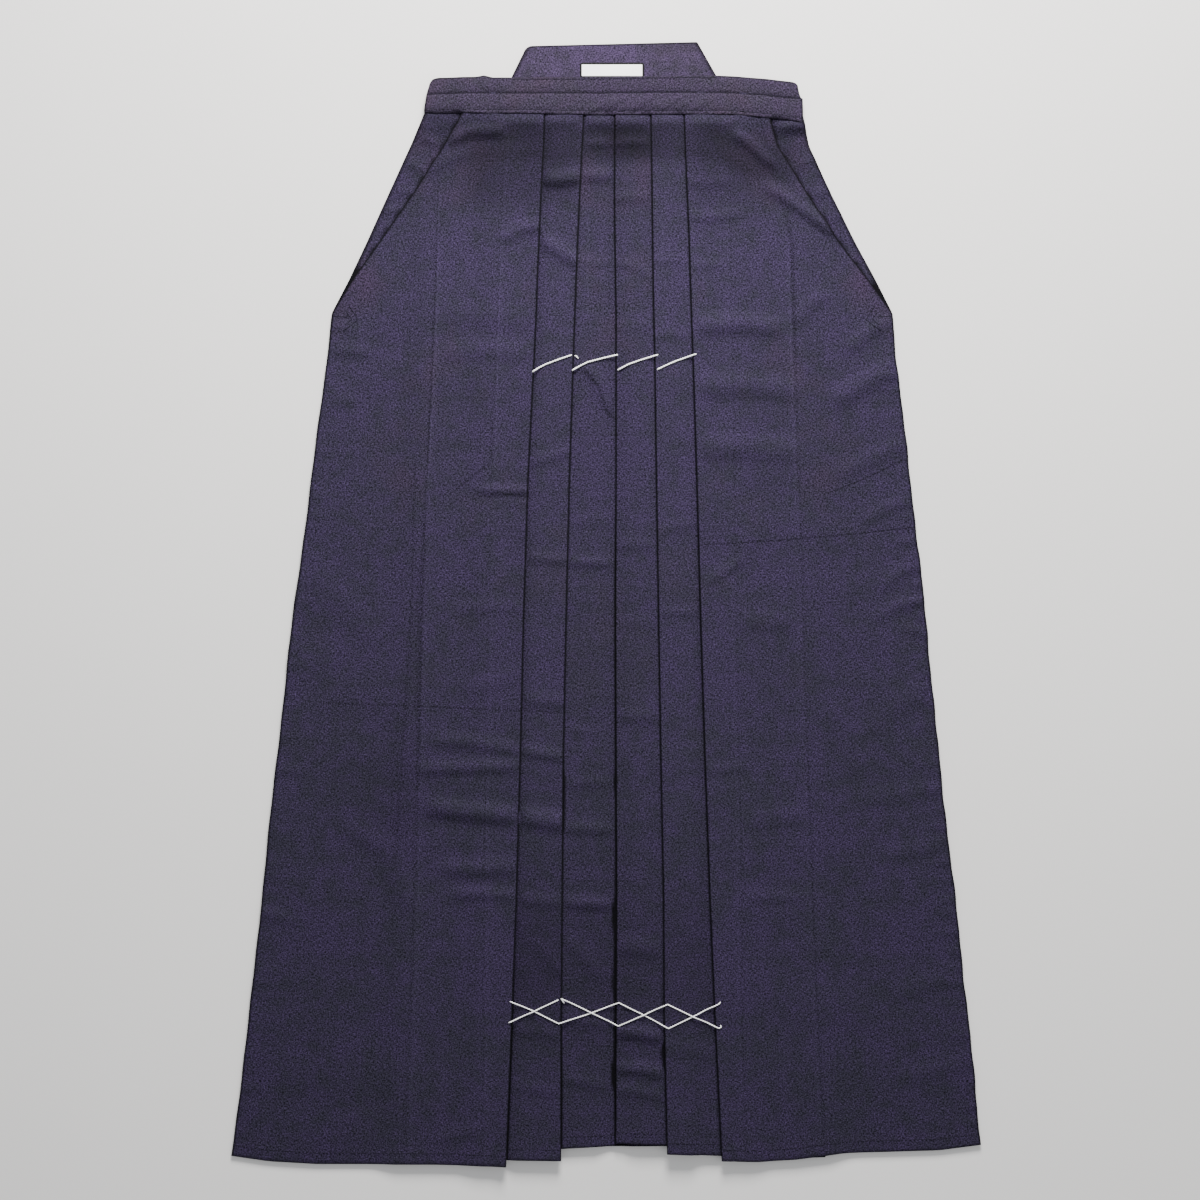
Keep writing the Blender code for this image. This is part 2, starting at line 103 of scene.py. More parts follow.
# Waistband, ties and board
BAND_BASE, BACK_ROOM = 5.2, 0.8         # height below the pleat heads, and room above the back panels
BAND_BACK, BAND_BACK_FOOT = 4.4, -1.5    # height of the band's back, and how far down it goes
BAND_FOLD = 2.0                          # reach of the fold along its top
BAND_PUFF = 0.45                         # how far its strips stand up between the sewn rows
SEAM_GROOVE, STITCH_GROOVE = (0.42, 1.3), (0.22, 1.1)    # depth and half width
BAND_END_DROP, BAND_END_REACH, BAND_LIP = 0.9, 1.6, 2.6
TIE_HEAD, TIE_FOOT, TIE_FLOOR, TIE_UPPER = -25.0, -3.5, 0.5, 5.7
BACK_TIE_LAYERS = (1.8, 3.1)
TIE_FOLDS = {"right": -163.7, "left": 171.7}
TIE_ENDS = {"right": -136.0, "left": 152.0}
BACK_TIE_FOLDS = {"right": -157.0, "left": 166.0}
STRAIGHT_EDGES = {
    "back_fold_left": 96.0,
    "gusset_seam": 40.0,
    "tie_fold_right": TIE_FOLDS["right"],
    "tie_fold_left": TIE_FOLDS["left"],
    "tie_end_right": TIE_ENDS["right"],
    "tie_end_left": TIE_ENDS["left"],
}
SLIT_FOOT = 180.0
DRAPE_START = 60.0   # where the cloth's own drape reaches its full height

# The board from the floor up, as (inset, height). Past BOARD_RIM the ring at that inset is shrunk instead
BOARD_PROFILE = ((1.3, 0.0), (0.4, 0.22), (0.0, 0.9), (0.0, 2.5), (0.35, 3.15), (1.1, 3.5), (2.2, 3.6),
                 (4.0, 3.6), (8.0, 3.62), (14.0, 3.66), (20.0, 3.68))
BOARD_RIM, BOARD_HALF = 0.99, 31.0
LABEL_HEIGHT, LABEL_THICKNESS = 4.12, 0.00045

# Sewing and threads
TIE_ROWS, TIE_STEPS, BAND_STEPS = 9, 14, 122
BAND_STITCH_ROW, HEM_STITCH_ROW = 3.1, 10.2
PLY_REACH, PLY_TURN = 0.32, 4.6

# Noise on the weave as cells to the metre across and along, and detail: warp, weft, specks, mottling, clouds
WEAVE_NOISES = ((1300.0, 480.0, 1.0), (480.0, 1300.0, 1.0), (850.0, 850.0, 2.0), (75.0, 75.0, 3.0),
                (14.0, 11.0, 3.0))
DARKEST_TONE = 0.2

# Stage
FLOOR_HEIGHT = -0.0005
SENSOR_WIDTH = 36.0
CAMERA_PLACE = (-0.00566, 0.0036, 0.007)    # x, y and the height that its view's width is measured at

# Edges of the layers across the garment: a row for each section down its length
SECTION_COLUMNS = ("down", "back_right", "front_right", "pleat_a", "pleat_b", "pleat_c",
                   "pleat_d", "pleat_e", "front_left", "back_left")
SECTIONS = np.array((
    (0.0, -165.0, -131.0, -56.0, -20.5, 8.0, 40.5, 70.5, 147.5, 178.0),
    (28.4, -177.5, -147.5, -57.0, -22.0, 8.0, 41.0, 71.5, 155.5, 184.0),
    (69.0, -196.0, -173.5, -59.0, -24.0, 7.5, 41.5, 73.0, 181.0, 202.5),
    (114.5, -216.5, -205.0, -61.0, -26.0, 8.0, 42.0, 75.0, 210.5, 225.0),
    (150.5, -233.5, -230.5, -62.5, -27.5, 8.5, 42.5, 76.0, 238.0, 244.5),
    (180.0, -249.0, -248.5, -63.5, -28.5, 9.0, 43.0, 77.0, 259.5, 259.5),
    (223.0, -253.5, -253.5, -65.5, -30.0, 9.0, 44.0, 78.5, 263.0, 263.0),
    (331.5, -267.5, -267.5, -71.0, -33.5, 9.0, 45.5, 82.0, 276.0, 276.0),
    (458.0, -284.5, -284.5, -75.0, -36.5, 8.5, 47.5, 85.5, 290.0, 290.0),
    (585.0, -299.0, -299.0, -78.0, -39.0, 9.0, 49.5, 89.5, 302.0, 302.0),
    (711.5, -312.5, -312.5, -81.5, -40.0, 9.5, 52.0, 94.0, 316.5, 316.5),
    (820.0, -324.0, -324.0, -85.5, -41.0, 9.0, 52.5, 98.5, 328.5, 328.5),
    (933.5, -338.5, -338.5, -90.0, -41.0, 8.5, 55.0, 104.0, 339.5, 339.5),
))

# The hem of each run of cloth, as (x, down) pairs from -X to +X
HEMS = {
    "outer_right": ((-339, 944.3), (-306, 949.0), (-262, 951.5), (-154, 951.5), (-90, 953.3)),
    "return_a": ((-185, 950.0), (-90, 953.3)),
    "strip_1": ((-185, 950.0), (-89, 947.4), (-41, 948.0)),
    "return_b": ((-111, 943.0), (-41, 948.0)),
    "strip_2": ((-111, 943.0), (-35, 937.0), (-2, 935.3), (74, 934.5)),
    "return_c": ((8, 932.5), (74, 931.0)),
    "strip_3": ((8, 932.5), (55, 933.5), (125, 938.0)),
    "return_d": ((55, 941.5), (125, 938.0)),
    "strip_4": ((55, 941.5), (104, 943.5), (199, 945.0)),
    "return_e": ((104, 948.0), (199, 945.0)),
    "outer_left": ((104, 948.0), (139, 949.0), (172, 947.0), (215, 941.5), (302, 939.0), (340, 934.0)),
}
BACK_HEM = ((-340, 939.0), (-110, 944.0), (-60, 940.0), (-30, 930.0), (60, 927.0), (110, 936.0),
            (200, 937.0), (340, 929.0))

# Runs of cloth from the lowest to the topmost: level, edge at -X, edge at +X
RUNS = {
    "back_outer_right": (0, "back_right", "back_edge_right"),
    "back_outer_left": (0, "back_edge_left", "back_left"),
    "back_return_right": (1, "back_fold_right", "back_edge_right"),
    "back_return_left": (1, "back_edge_left", "back_fold_left"),
    "back_inner": (2, "back_fold_right", "fold_c"),
    "strip_2": (3, "fold_b", "fold_c"),
    "return_b": (4, "fold_b", "pleat_b"),
    "return_c": (4, "pleat_c", "fold_c"),
    "strip_1": (5, "fold_a", "pleat_b"),
    "strip_3": (5, "pleat_c", "fold_d"),
    "return_a": (6, "fold_a", "pleat_a"),
    "return_d": (6, "pleat_d", "fold_d"),
    "strip_4": (7, "pleat_d", "fold_e"),
    "return_e": (8, "pleat_e", "fold_e"),
    "outer_right": (9, "front_right", "pleat_a"),
    "outer_left": (9, "pleat_e", "front_left"),
    "tie_end_right": (9, "tie_fold_right", "tie_end_right"),
    "tie_end_left": (9, "tie_end_left", "tie_fold_left"),
}
FRONT_LEVEL = 3
OUTER_LEVEL = 9
BAND_LEVEL = 10

# Each panel as a chain of runs. A run's keys are the edges that it crosses from its start to its end, and
# its weave is counted from its anchor: the edge, the way the count grows along X, and the count there
CHAINS = {
    "front_panel_right": (
        ("outer_right", ("front_right", "fold_a", "fold_b", "pleat_a"), ("pleat_a", 1, 0.0)),
        ("return_a", ("pleat_a", "fold_a"), ("pleat_a", -1, 0.0)),
        ("strip_1", ("fold_a", "pleat_a", "pleat_b"), ("pleat_b", 1, 230.0)),
        ("return_b", ("pleat_b", "fold_b"), ("pleat_b", -1, 230.0)),
        ("strip_2", ("fold_b", "pleat_b", "pleat_c", "fold_c"), ("pleat_b", 1, 370.0)),
    ),
    "front_panel_left": (
        ("outer_left", ("front_left", "fold_e", "fold_d", "pleat_e"), ("pleat_e", -1, 0.0)),
        ("return_e", ("pleat_e", "fold_e"), ("pleat_e", 1, 0.0)),
        ("strip_4", ("fold_e", "pleat_e", "pleat_d"), ("pleat_d", -1, 220.0)),
        ("return_d", ("pleat_d", "fold_d"), ("pleat_d", 1, 220.0)),
        ("strip_3", ("fold_d", "pleat_d", "pleat_c"), ("pleat_c", -1, 400.0)),
        ("return_c", ("pleat_c", "fold_c"), ("pleat_c", 1, 400.0)),
    ),
    "back_panel_right": (
        ("back_outer_right", ("back_right", "back_edge_right"), ("back_edge_right", 1, 0.0)),
        ("back_return_right", ("back_edge_right", "back_fold_right"), ("back_edge_right", -1, 0.0)),
        ("back_inner", ("back_fold_right", "back_edge_right", "gusset_seam"), ("gusset_seam", 1, 200.0)),
    ),
    "back_panel_left": (
        ("back_outer_left", ("back_left", "back_edge_left"), ("back_edge_left", -1, 0.0)),
        ("back_return_left", ("back_edge_left", "back_fold_left"), ("back_edge_left", 1, 0.0)),
    ),
}

# What shows of each run from above: level, its two edges, and whether it dives under cloth at each
FACES = {
    "outer_right": (9, "front_right", False, "pleat_a", False),
    "strip_1": (5, "pleat_a", True, "pleat_b", False),
    "strip_2": (3, "pleat_b", True, "pleat_c", True),
    "strip_3": (5, "pleat_c", False, "pleat_d", True),
    "strip_4": (7, "pleat_d", False, "pleat_e", True),
    "outer_left": (9, "pleat_e", False, "front_left", False),
    "slit_right": (0, "back_right", False, "front_right", True),
    "slit_left": (0, "front_left", True, "back_left", False),
}
# Stretches where the painted shade beside a pleat edge is widened, as though the pleat stood a little open,
# as (down, gap) pairs
WIDENED_SHADE = {
    "pleat_a": ((0, 0.0), (760, 0.0), (850, 0.7), (940, 0.7)),
    "pleat_b": ((590, 0.0), (606, 1.2), (640, 1.0), (655, 0.0), (800, 0.0), (880, 0.6), (940, 0.4)),
    "pleat_c": ((340, 0.0), (420, 0.5), (590, 0.4), (606, 1.6), (622, 0.4), (705, 0.8), (722, 3.4),
                (736, 2.6), (752, 1.2), (790, 2.6), (806, 1.0), (852, 1.4), (864, 3.0), (876, 3.4),
                (888, 0.6), (935, 0.3)),
    "pleat_d": ((838, 0.0), (848, 2.6), (856, 2.2), (868, 0.0)),
}
UNWIDENED_SHADE = ((0, 0.0),)
# Edges that cast a line of shade: the level above, the level below, and the side of the upper cloth
SHADED = (
    ("pleat_a", 9, 5, -1),
    ("pleat_b", 5, 3, -1),
    ("pleat_c", 5, 3, 1),
    ("pleat_d", 7, 5, 1),
    ("pleat_e", 9, 7, 1),
    ("front_right", 9, 0, 1),
    ("front_left", 9, 0, -1),
)

# Hidden folds that press through the outermost cloth, painted there as a dark line of shade with a lighter
# painted line inside it: the fold, the side it lies on, how far inside the fold the painted line lies, how
# strong it is, and a stretch down the cloth where it is painted stronger and wider
PAINTED_FOLD_LINES = (
    ("fold_a", -1, 3.0, 1.7, (330.0, 620.0)),
    ("fold_b", -1, 0.0, 1.1, (0.0, 0.0)),
    ("fold_d", 1, 0.0, 1.1, (0.0, 0.0)),
    ("fold_e", 1, 1.4, 1.6, (80.0, 240.0)),
)
# Patches where the cloth is painted darker, as (run, across, down, reach across, reach down, strength)
DARKER_PATCHES = (
    ("strip_1", -62.0, 770.0, 55.0, 75.0, 0.29),
    ("strip_2", -16.0, 770.0, 55.0, 75.0, 0.17),
    ("strip_3", 30.0, 770.0, 55.0, 75.0, 0.15),
    ("strip_4", 75.0, 770.0, 55.0, 75.0, 0.17),
    ("outer_right", -187.0, 622.0, 55.0, 50.0, 0.12),
    ("outer_right", -120.0, 42.0, 46.0, 26.0, 0.12),
    ("outer_left", 104.0, 57.0, 45.0, 26.0, 0.24),
)
# Lines of shade, as (strength at the edge, millimetres in which it falls by 1): on the upper cloth of a pleat
# and of a slit, and on the cloth that lies below either
PLEAT_SHADE, SLIT_SHADE, LOWER_SHADE = (1.25, 0.95), (1.5, 0.95), (1.4, 1.15)
RIM_SHADE, RIM_WIDTH = 1.35, 2.3
HEM_SHADE, HEM_SHADE_WIDTH = 0.95, 1.6
# Outlines that end in a rim of shade, as (run, edge, side)
RIMS = (
    ("outer_right", "front_right", -1),
    ("outer_left", "front_left", 1),
    ("back_outer_right", "back_right", -1),
    ("back_outer_left", "back_left", 1),
)

# Waistband: x of its lower edge, middle, upper edge and back face, then how far down its edges and seam lie
BAND_COLUMNS = ("lower_x", "middle_x", "upper_x", "back_x", "top", "seam", "bottom")
BAND = np.array((
    (-165.0, -162.5, -160.2, -159.0, -26.6, -17.2, -1.7),
    (-163.4, -161.2, -159.2, -158.2, -28.6, -17.3, -1.6),
    (-160.5, -158.8, -157.0, -156.4, -30.9, -17.5, -1.5),
    (-154.0, -154.0, -152.5, -153.0, -32.2, -17.9, -1.2),
    (-118.0, -118.0, -118.0, -118.0, -33.0, -18.6, -0.8),
    (-110.5, -110.5, -110.5, -110.5, -34.3, -18.7, -0.7),
    (-103.0, -103.0, -103.0, -103.0, -32.4, -18.5, -0.5),
    (-85.5, -85.5, -85.5, -85.5, -32.2, -18.2, -0.3),
    (0.0, 0.0, 0.0, 0.0, -33.1, -18.8, 0.7),
    (100.0, 100.0, 100.0, 100.0, -34.0, -18.8, 0.7),
    (120.0, 120.0, 120.0, 120.0, -33.1, -18.2, 0.9),
    (145.5, 145.5, 145.5, 145.5, -30.9, -16.4, 3.6),
    (168.0, 168.0, 167.0, 164.5, -28.8, -14.0, 5.6),
    (175.0, 174.8, 170.8, 166.5, -28.3, -13.8, 7.1),
    (178.0, 177.6, 173.0, 168.0, -27.6, -13.6, 7.9),
))

# Corners as (x, down, radius)
BOARD_CORNERS = ((-101.0, -2.8, 1.0), (118.0, -2.8, 1.0), (82.5, -65.7, 2.0), (-72.0, -62.0, 8.0))
LABEL_CORNERS = ((-23.8, -32.9, 2.2), (34.3, -32.9, 2.2), (34.3, -46.6, 2.2), (-23.8, -46.6, 2.2))

# Tacks at the foot of each slit, as (inward from the corner, down from the foot) points
TACK_LINES = (
    ((2.0, 3.0), (14.5, 3.5)),
    ((16.5, -6.0), (20.0, -1.0), (24.0, 6.0), (18.0, 11.0), (11.5, 15.5)),
    ((14.5, 0.0), (18.5, 5.5), (13.0, 10.5)),
)
# White threads as (x, down) points, and whether they cross over others
UPPER_BASTING = (
    (((-66.7, 233.9), (-61.0, 230.2), (-54.5, 226.9), (-43.0, 222.6), (-31.0, 218.5)), False),
    (((-28.6, 218.6), (-26.6, 219.9), (-25.4, 221.6)), False),
    (((-31.0, 232.6), (-24.0, 228.4), (-16.5, 224.8), (-3.0, 221.2), (10.6, 218.0)), False),
    (((10.6, 232.0), (20.0, 227.0), (31.4, 223.0), (46.8, 218.5)), False),
    (((45.9, 232.0), (53.0, 228.6), (63.1, 224.2), (81.2, 218.0)), False),
)
LOWER_BASTING = (
    (((-87.1, 803.1), (-67.0, 811.4), (-43.1, 823.4), (-16.0, 815.0), (11.5, 804.9),
      (33.0, 815.2), (56.2, 827.5), (80.0, 816.0), (101.6, 805.6), (103.6, 803.6)), False),
    (((-88.4, 822.5), (-66.0, 812.4), (-43.1, 801.8)), True),
    (((-38.0, 805.2), (-39.6, 802.6), (-41.0, 800.7), (-14.0, 813.6), (11.0, 826.0), (33.0, 816.0),
      (55.4, 805.7), (79.0, 817.0), (101.6, 827.4), (103.8, 826.6), (103.4, 824.4)), True),
)
LOWER_THREAD_SHARE = 0.8
BASTING_CROSSINGS = ((-67.2, 812.5), (-13.9, 814.0), (33.2, 815.9), (79.2, 816.8))

# Soft creases of the faces that show them: height, half width, then (x, down) points along the crest
CREASES = {
    "outer_right": (
        (2.0, 8.0, (-145, 26), (-123, 16), (-89, 16)),
        (0.9, 8.0, (-103, 8), (-78, 7), (-53, 8)),
        (0.8, 8.0, (-164, 53), (-146, 42), (-123, 35)),
        (1.4, 8.0, (-96, 116), (-78, 104), (-55, 102)),
        (0.8, 12.5, (-152, 217), (-114, 214), (-65, 216)),
        (0.5, 14.5, (-150, 180), (-105, 185), (-65, 185)),
        (1.5, 5.0, (-120, 340), (-96, 341), (-65, 341)),
        (0.4, 4.5, (-102, 352), (-87, 352), (-67, 352)),
        (0.5, 9.0, (-141, 449), (-105, 446), (-71, 447)),
        (1.1, 9.0, (-161, 567), (-123, 569), (-74, 577)),
        (1.3, 8.5, (-178, 594), (-128, 592), (-74, 590)),
        (2.2, 12.5, (-167, 627), (-128, 632), (-76, 636)),
        (1.3, 11.0, (-154, 683), (-123, 684), (-78, 682)),
        (1.0, 8.0, (-143, 707), (-114, 706), (-78, 708)),
        (0.8, 13.5, (-239, 641), (-200, 666), (-176, 725)),
        (0.8, 7.0, (-249, 214), (-232, 214), (-210, 217)),
        (0.6, 6.5, (-251, 191), (-241, 192), (-226, 196)),
        (0.5, 8.0, (-254, 257), (-241, 259), (-226, 261)),
        (0.6, 5.5, (-301, 594), (-288, 594), (-274, 596)),
        (0.7, 5.5, (-317, 723), (-304, 723), (-286, 732)),
        (0.6, 6.5, (-158, 931), (-137, 925), (-111, 917)),
        (0.4, 5.5, (-243, 916), (-230, 911), (-212, 904)),
        (0.5, 11.0, (-131, 522), (-105, 516), (-78, 505)),
        (0.4, 18.0, (-277, 404), (-241, 440), (-205, 485)),
    ),
    "strip_1": (
        (0.9, 8.0, (-60, 8), (-42, 7), (-24, 7)),
        (2.8, 9.0, (-62, 60), (-42, 60), (-22, 57)),
        (1.6, 9.0, (-64, 111), (-44, 123), (-22, 138)),
        (0.9, 6.5, (-71, 317), (-53, 312), (-31, 304)),
        (1.0, 6.5, (-74, 401), (-55, 403), (-33, 404)),
        (0.8, 9.0, (-78, 530), (-60, 531), (-35, 533)),
        (1.2, 7.0, (-80, 576), (-60, 579), (-36, 583)),
        (2.0, 12.5, (-82, 636), (-60, 639), (-36, 643)),
        (0.9, 9.0, (-83, 709), (-64, 712), (-38, 714)),
        (0.6, 8.0, (-69, 743), (-53, 761), (-40, 780)),
        (0.6, 8.0, (-87, 829), (-64, 830), (-40, 835)),
        (0.5, 8.0, (-89, 879), (-64, 882), (-40, 885)),
    ),
    "strip_2": (
        (1.1, 8.0, (-24, 8), (-8, 8), (11, 8)),
        (1.3, 4.5, (-24, 27), (-8, 27), (11, 26)),
        (1.5, 8.0, (-26, 57), (-8, 56), (11, 56)),
        (0.6, 4.5, (-26, 134), (-10, 135), (11, 134)),
        (1.8, 5.0, (-22, 225), (-9, 240), (7, 275)),
        (0.4, 8.0, (-35, 370), (-15, 368), (9, 368)),
        (1.1, 6.5, (-38, 406), (-15, 406), (10, 407)),
        (0.5, 4.5, (-38, 558), (-24, 559), (-6, 561)),
        (0.7, 6.5, (-36, 606), (-15, 605), (7, 605)),
        (1.1, 7.0, (-42, 647), (-15, 647), (9, 649)),
        (1.5, 8.0, (-42, 714), (-15, 715), (9, 716)),
        (0.9, 8.0, (-38, 744), (-22, 761), (0, 786)),
        (0.7, 6.5, (-42, 818), (-22, 821), (2, 827)),
        (0.8, 7.0, (-42, 875), (-22, 875), (0, 882)),
    ),
    "strip_3": (
        (1.1, 8.0, (5, 8), (23, 8), (44, 8)),
        (1.3, 4.5, (5, 27), (23, 26), (44, 27)),
        (0.8, 7.0, (5, 77), (23, 76), (44, 76)),
        (0.7, 5.5, (5, 134), (27, 138), (46, 152)),
        (0.4, 5.5, (7, 193), (27, 192), (45, 192)),
        (0.6, 7.0, (7, 390), (27, 390), (47, 391)),
        (0.4, 7.0, (9, 460), (27, 460), (49, 461)),
        (0.7, 9.0, (9, 546), (27, 545), (49, 547)),
        (1.1, 12.5, (9, 753), (27, 755), (52, 757)),
        (1.9, 8.0, (7, 831), (31, 832), (56, 838)),
        (1.7, 8.0, (7, 864), (31, 864), (56, 871)),
        (0.8, 6.5, (7, 884), (31, 885), (56, 891)),
    ),
    "strip_4": (
        (1.0, 8.0, (40, 8), (56, 8), (74, 8)),
        (0.5, 5.5, (41, 134), (60, 132), (79, 136)),
        (0.5, 4.5, (43, 202), (60, 200), (82, 201)),
        (0.5, 7.0, (45, 379), (63, 373), (87, 370)),
        (0.6, 5.5, (47, 451), (65, 451), (88, 452)),
        (0.5, 11.0, (50, 844), (76, 847), (101, 853)),
    ),
    "outer_left": (
        (2.4, 7.0, (114, 17), (130, 28), (154, 49)),
        (2.0, 8.0, (141, 62), (171, 82), (213, 111)),
        (1.0, 8.0, (70, 9), (96, 8), (121, 8)),
        (0.6, 7.0, (70, 63), (89, 63), (114, 61)),
        (0.9, 6.5, (72, 94), (96, 94), (126, 90)),
        (0.6, 5.5, (76, 138), (92, 137), (110, 138)),
        (1.7, 13.0, (78, 193), (121, 190), (164, 194)),
        (1.3, 15.0, (79, 247), (130, 246), (179, 252)),
        (1.3, 16.0, (81, 303), (128, 302), (181, 306)),
        (0.9, 6.5, (126, 375), (123, 404), (88, 426)),
        (0.7, 13.0, (119, 460), (144, 459), (172, 460)),
        (0.5, 7.0, (88, 594), (107, 593), (132, 591)),
        (0.6, 14.0, (123, 641), (153, 637), (183, 635)),
        (0.5, 7.0, (123, 710), (148, 709), (181, 710)),
        (0.9, 10.0, (170, 192), (183, 174), (202, 160)),
        (1.2, 10.0, (216, 216), (237, 198), (260, 184)),
        (1.5, 14.0, (202, 263), (237, 242), (268, 228)),
        (0.8, 11.0, (204, 329), (246, 310), (273, 295)),
        (0.8, 8.0, (231, 371), (252, 357), (277, 348)),
        (1.0, 8.0, (248, 431), (266, 415), (286, 406)),
        (0.9, 8.0, (241, 460), (261, 446), (288, 440)),
        (0.8, 6.5, (266, 466), (279, 467), (295, 471)),
        (0.5, 15.0, (231, 565), (255, 542), (297, 516)),
        (0.5, 13.0, (226, 622), (264, 618), (307, 609)),
        (0.6, 16.5, (202, 531), (221, 567), (230, 603)),
        (0.6, 11.0, (252, 675), (279, 666), (309, 662)),
        (0.5, 12.5, (257, 802), (288, 789), (322, 780)),
        (0.5, 11.0, (266, 875), (298, 866), (331, 858)),
    ),
    "slit_right": (
        (1.0, 5.5, (-170, 21), (-160, 23), (-145, 31)),
        (1.0, 5.5, (-183, 42), (-172, 47), (-158, 55)),
        (0.9, 4.5, (-192, 67), (-182, 69), (-170, 75)),
        (0.9, 4.5, (-201, 85), (-192, 88), (-181, 94)),
        (0.8, 4.5, (-210, 104), (-202, 106), (-194, 111)),
        (0.6, 3.5, (-219, 120), (-212, 122), (-205, 125)),
        (0.5, 3.5, (-229, 138), (-223, 140), (-216, 142)),
    ),
    "slit_left": (
        (1.8, 7.0, (154, 13), (171, 11), (186, 11)),
        (0.7, 5.5, (172, 47), (186, 42), (201, 42)),
        (0.9, 4.5, (186, 75), (199, 69), (213, 69)),
        (0.8, 4.5, (202, 98), (213, 91), (226, 89)),
        (0.7, 3.5, (217, 120), (226, 113), (237, 111)),
        (0.5, 3.5, (230, 138), (237, 132), (244, 131)),
    ),
}
# Puckers along seams, as (face, edge, its side, first, last, seed, strength)
PUCKERS = (
    ("outer_left", "front_left", 1, 190.0, 930.0, 11, 0.75),
    ("outer_right", "front_right", -1, 190.0, 930.0, 12, 0.35),
    ("slit_right", "back_right", -1, 10.0, 165.0, 13, 0.3),
    ("slit_left", "back_left", 1, 10.0, 165.0, 14, 0.3),
)
# Painted shade of creases too fine for the mesh, each from one (x, down) place to another: half width, and
# how dark;
# a negative strength paints a highlight instead
PAINTED_CREASE_LINES = (
    ((-254.5, 533.4), (-41.9, 541.5), 1.1, 0.42),
    ((86.7, 390.4), (152.0, 386.5), 1.1, 0.65),
    ((152.0, 386.5), (222.0, 380.5), 1.1, 0.60),
    ((222.0, 380.5), (281.0, 374.1), 1.1, 0.65),
    ((200.7, 343.4), (240.0, 328.0), 1.1, 0.50),
    ((240.0, 328.0), (271.3, 311.7), 1.1, 0.65),
    ((-137.0, 340.6), (-105.0, 316.0), 1.6, 0.36),
    ((-105.0, 316.0), (-103.0, 270.0), 1.3, 0.24),
    ((-104.0, 344.6), (-70.0, 345.2), 1.8, 0.50),
    ((-21.5, 230.5), (-13.6, 239.1), 2.6, 0.42),
    ((-13.6, 239.1), (-6.1, 247.5), 2.6, 0.46),
    ((-6.1, 247.5), (-1.4, 266.4), 2.3, 0.40),
    ((-1.4, 266.4), (7.5, 277.7), 2.3, 0.50),
    ((-22.9, 233.8), (-30.0, 270.0), 1.0, 0.40),
    ((-16.3, 92.0), (-16.6, 186.0), 1.7, -0.26),
    ((2.4, 96.0), (2.6, 172.0), 1.2, 0.20),
    ((51.0, 94.0), (51.6, 136.0), 2.2, -0.14),
    ((-173.6, 316.0), (-176.6, 450.0), 1.4, 0.32),
    ((-176.6, 450.0), (-184.5, 575.0), 2.4, 0.26),
    ((-184.5, 575.0), (-192.0, 684.0), 2.6, 0.16),
    ((-170.5, 410.0), (-171.5, 540.0), 4.0, 0.14),
    ((-150.4, 12.0), (-152.7, 69.0), 1.0, 0.20),
    ((-152.7, 69.0), (-155.0, 162.0), 1.0, 0.26),
    ((-155.0, 162.0), (-159.0, 259.0), 1.0, 0.30),
    ((-159.0, 259.0), (-162.0, 316.0), 1.1, 0.42),
    ((-150.7, 69.0), (-153.0, 162.0), 1.0, -0.28),
    ((-153.0, 162.0), (-157.0, 259.0), 1.0, -0.28),
    ((-157.0, 259.0), (-160.0, 316.0), 1.0, -0.28),
    ((-93.9, 100.0), (-97.5, 191.0), 1.0, -0.18),
    ((-97.5, 191.0), (-99.8, 300.0), 1.0, -0.24),
    ((164.6, 112.0), (167.0, 180.0), 1.0, -0.28),
    ((167.0, 180.0), (169.0, 262.0), 1.0, -0.28),
    ((169.0, 262.0), (171.2, 345.0), 1.0, -0.20),
    ((165.8, 84.0), (169.0, 180.0), 1.0, 0.16),
    ((169.0, 180.0), (173.2, 345.0), 1.0, 0.20),
)
# Soft creases on the band: height, half width, then (x, down) points
BAND_CREASES = (
    (0.85, 3.6, (-14.0, -2.0), (-4.0, -8.0), (10.0, -14.0)),
    (0.95, 3.4, (-3.0, -2.5), (8.0, -8.5), (20.0, -15.0)),
    (0.75, 3.4, (10.0, -2.0), (19.0, -7.0), (29.0, -13.0)),
    (0.95, 4.0, (20.0, -2.0), (33.0, -9.0), (44.0, -15.5)),
    (0.60, 3.4, (34.0, -3.0), (44.0, -8.0), (52.0, -12.0)),
    (0.80, 3.8, (44.0, -2.0), (56.0, -8.0), (70.0, -15.0)),
    (0.60, 3.6, (60.0, -2.5), (70.0, -7.5), (80.0, -12.5)),
    (0.60, 4.0, (74.0, -2.0), (86.0, -8.5), (98.0, -14.0)),
    (0.25, 3.2, (92.0, -3.0), (101.0, -7.5), (110.0, -12.0)),
    (0.25, 4.5, (-150.0, -4.0), (-132.0, -12.0)),
    (0.30, 4.0, (-104.0, -3.0), (-90.0, -9.0), (-78.0, -14.0)),
    (0.25, 4.0, (-62.0, -3.0), (-50.0, -10.0)),
    (0.50, 5.0, (-112.0, -33.0), (-110.0, -27.0), (-104.0, -21.0)),
    (0.25, 4.0, (-60.0, -22.0), (-48.0, -30.0)),
    (0.25, 4.0, (36.0, -21.0), (50.0, -29.0)),
    (0.30, 4.5, (126.0, -2.0), (138.0, -9.0), (150.0, -13.0)),
    (0.30, 4.0, (150.0, -16.0), (164.0, -24.0)),
)


def smooth(t):
    """0 to 1 with level ends, for t from 0 to 1."""
    t = np.clip(t, 0.0, 1.0)
    return t * t * (3.0 - 2.0 * t)


def between(value, low, high, low_reach, high_reach):
    """0 outside low to high, rising softly to 1 over a reach inside each."""
    return smooth((value - low) / low_reach) * smooth((high - value) / high_reach)


def lengths_along(xs, ys):
    """How far along a line each of its points lies."""
    return np.concatenate(((0.0,), np.cumsum(np.hypot(np.diff(xs), np.diff(ys)))))


def half_thickness():
    """Half of one layer of cloth, in millimetres."""
    return cloth().cloth_thickness / MM / 2


def hem_down(run, x):
    """How far down the hem of a run lies."""
    return np.interp(x, *np.array(HEMS.get(run, BACK_HEM), float).T)


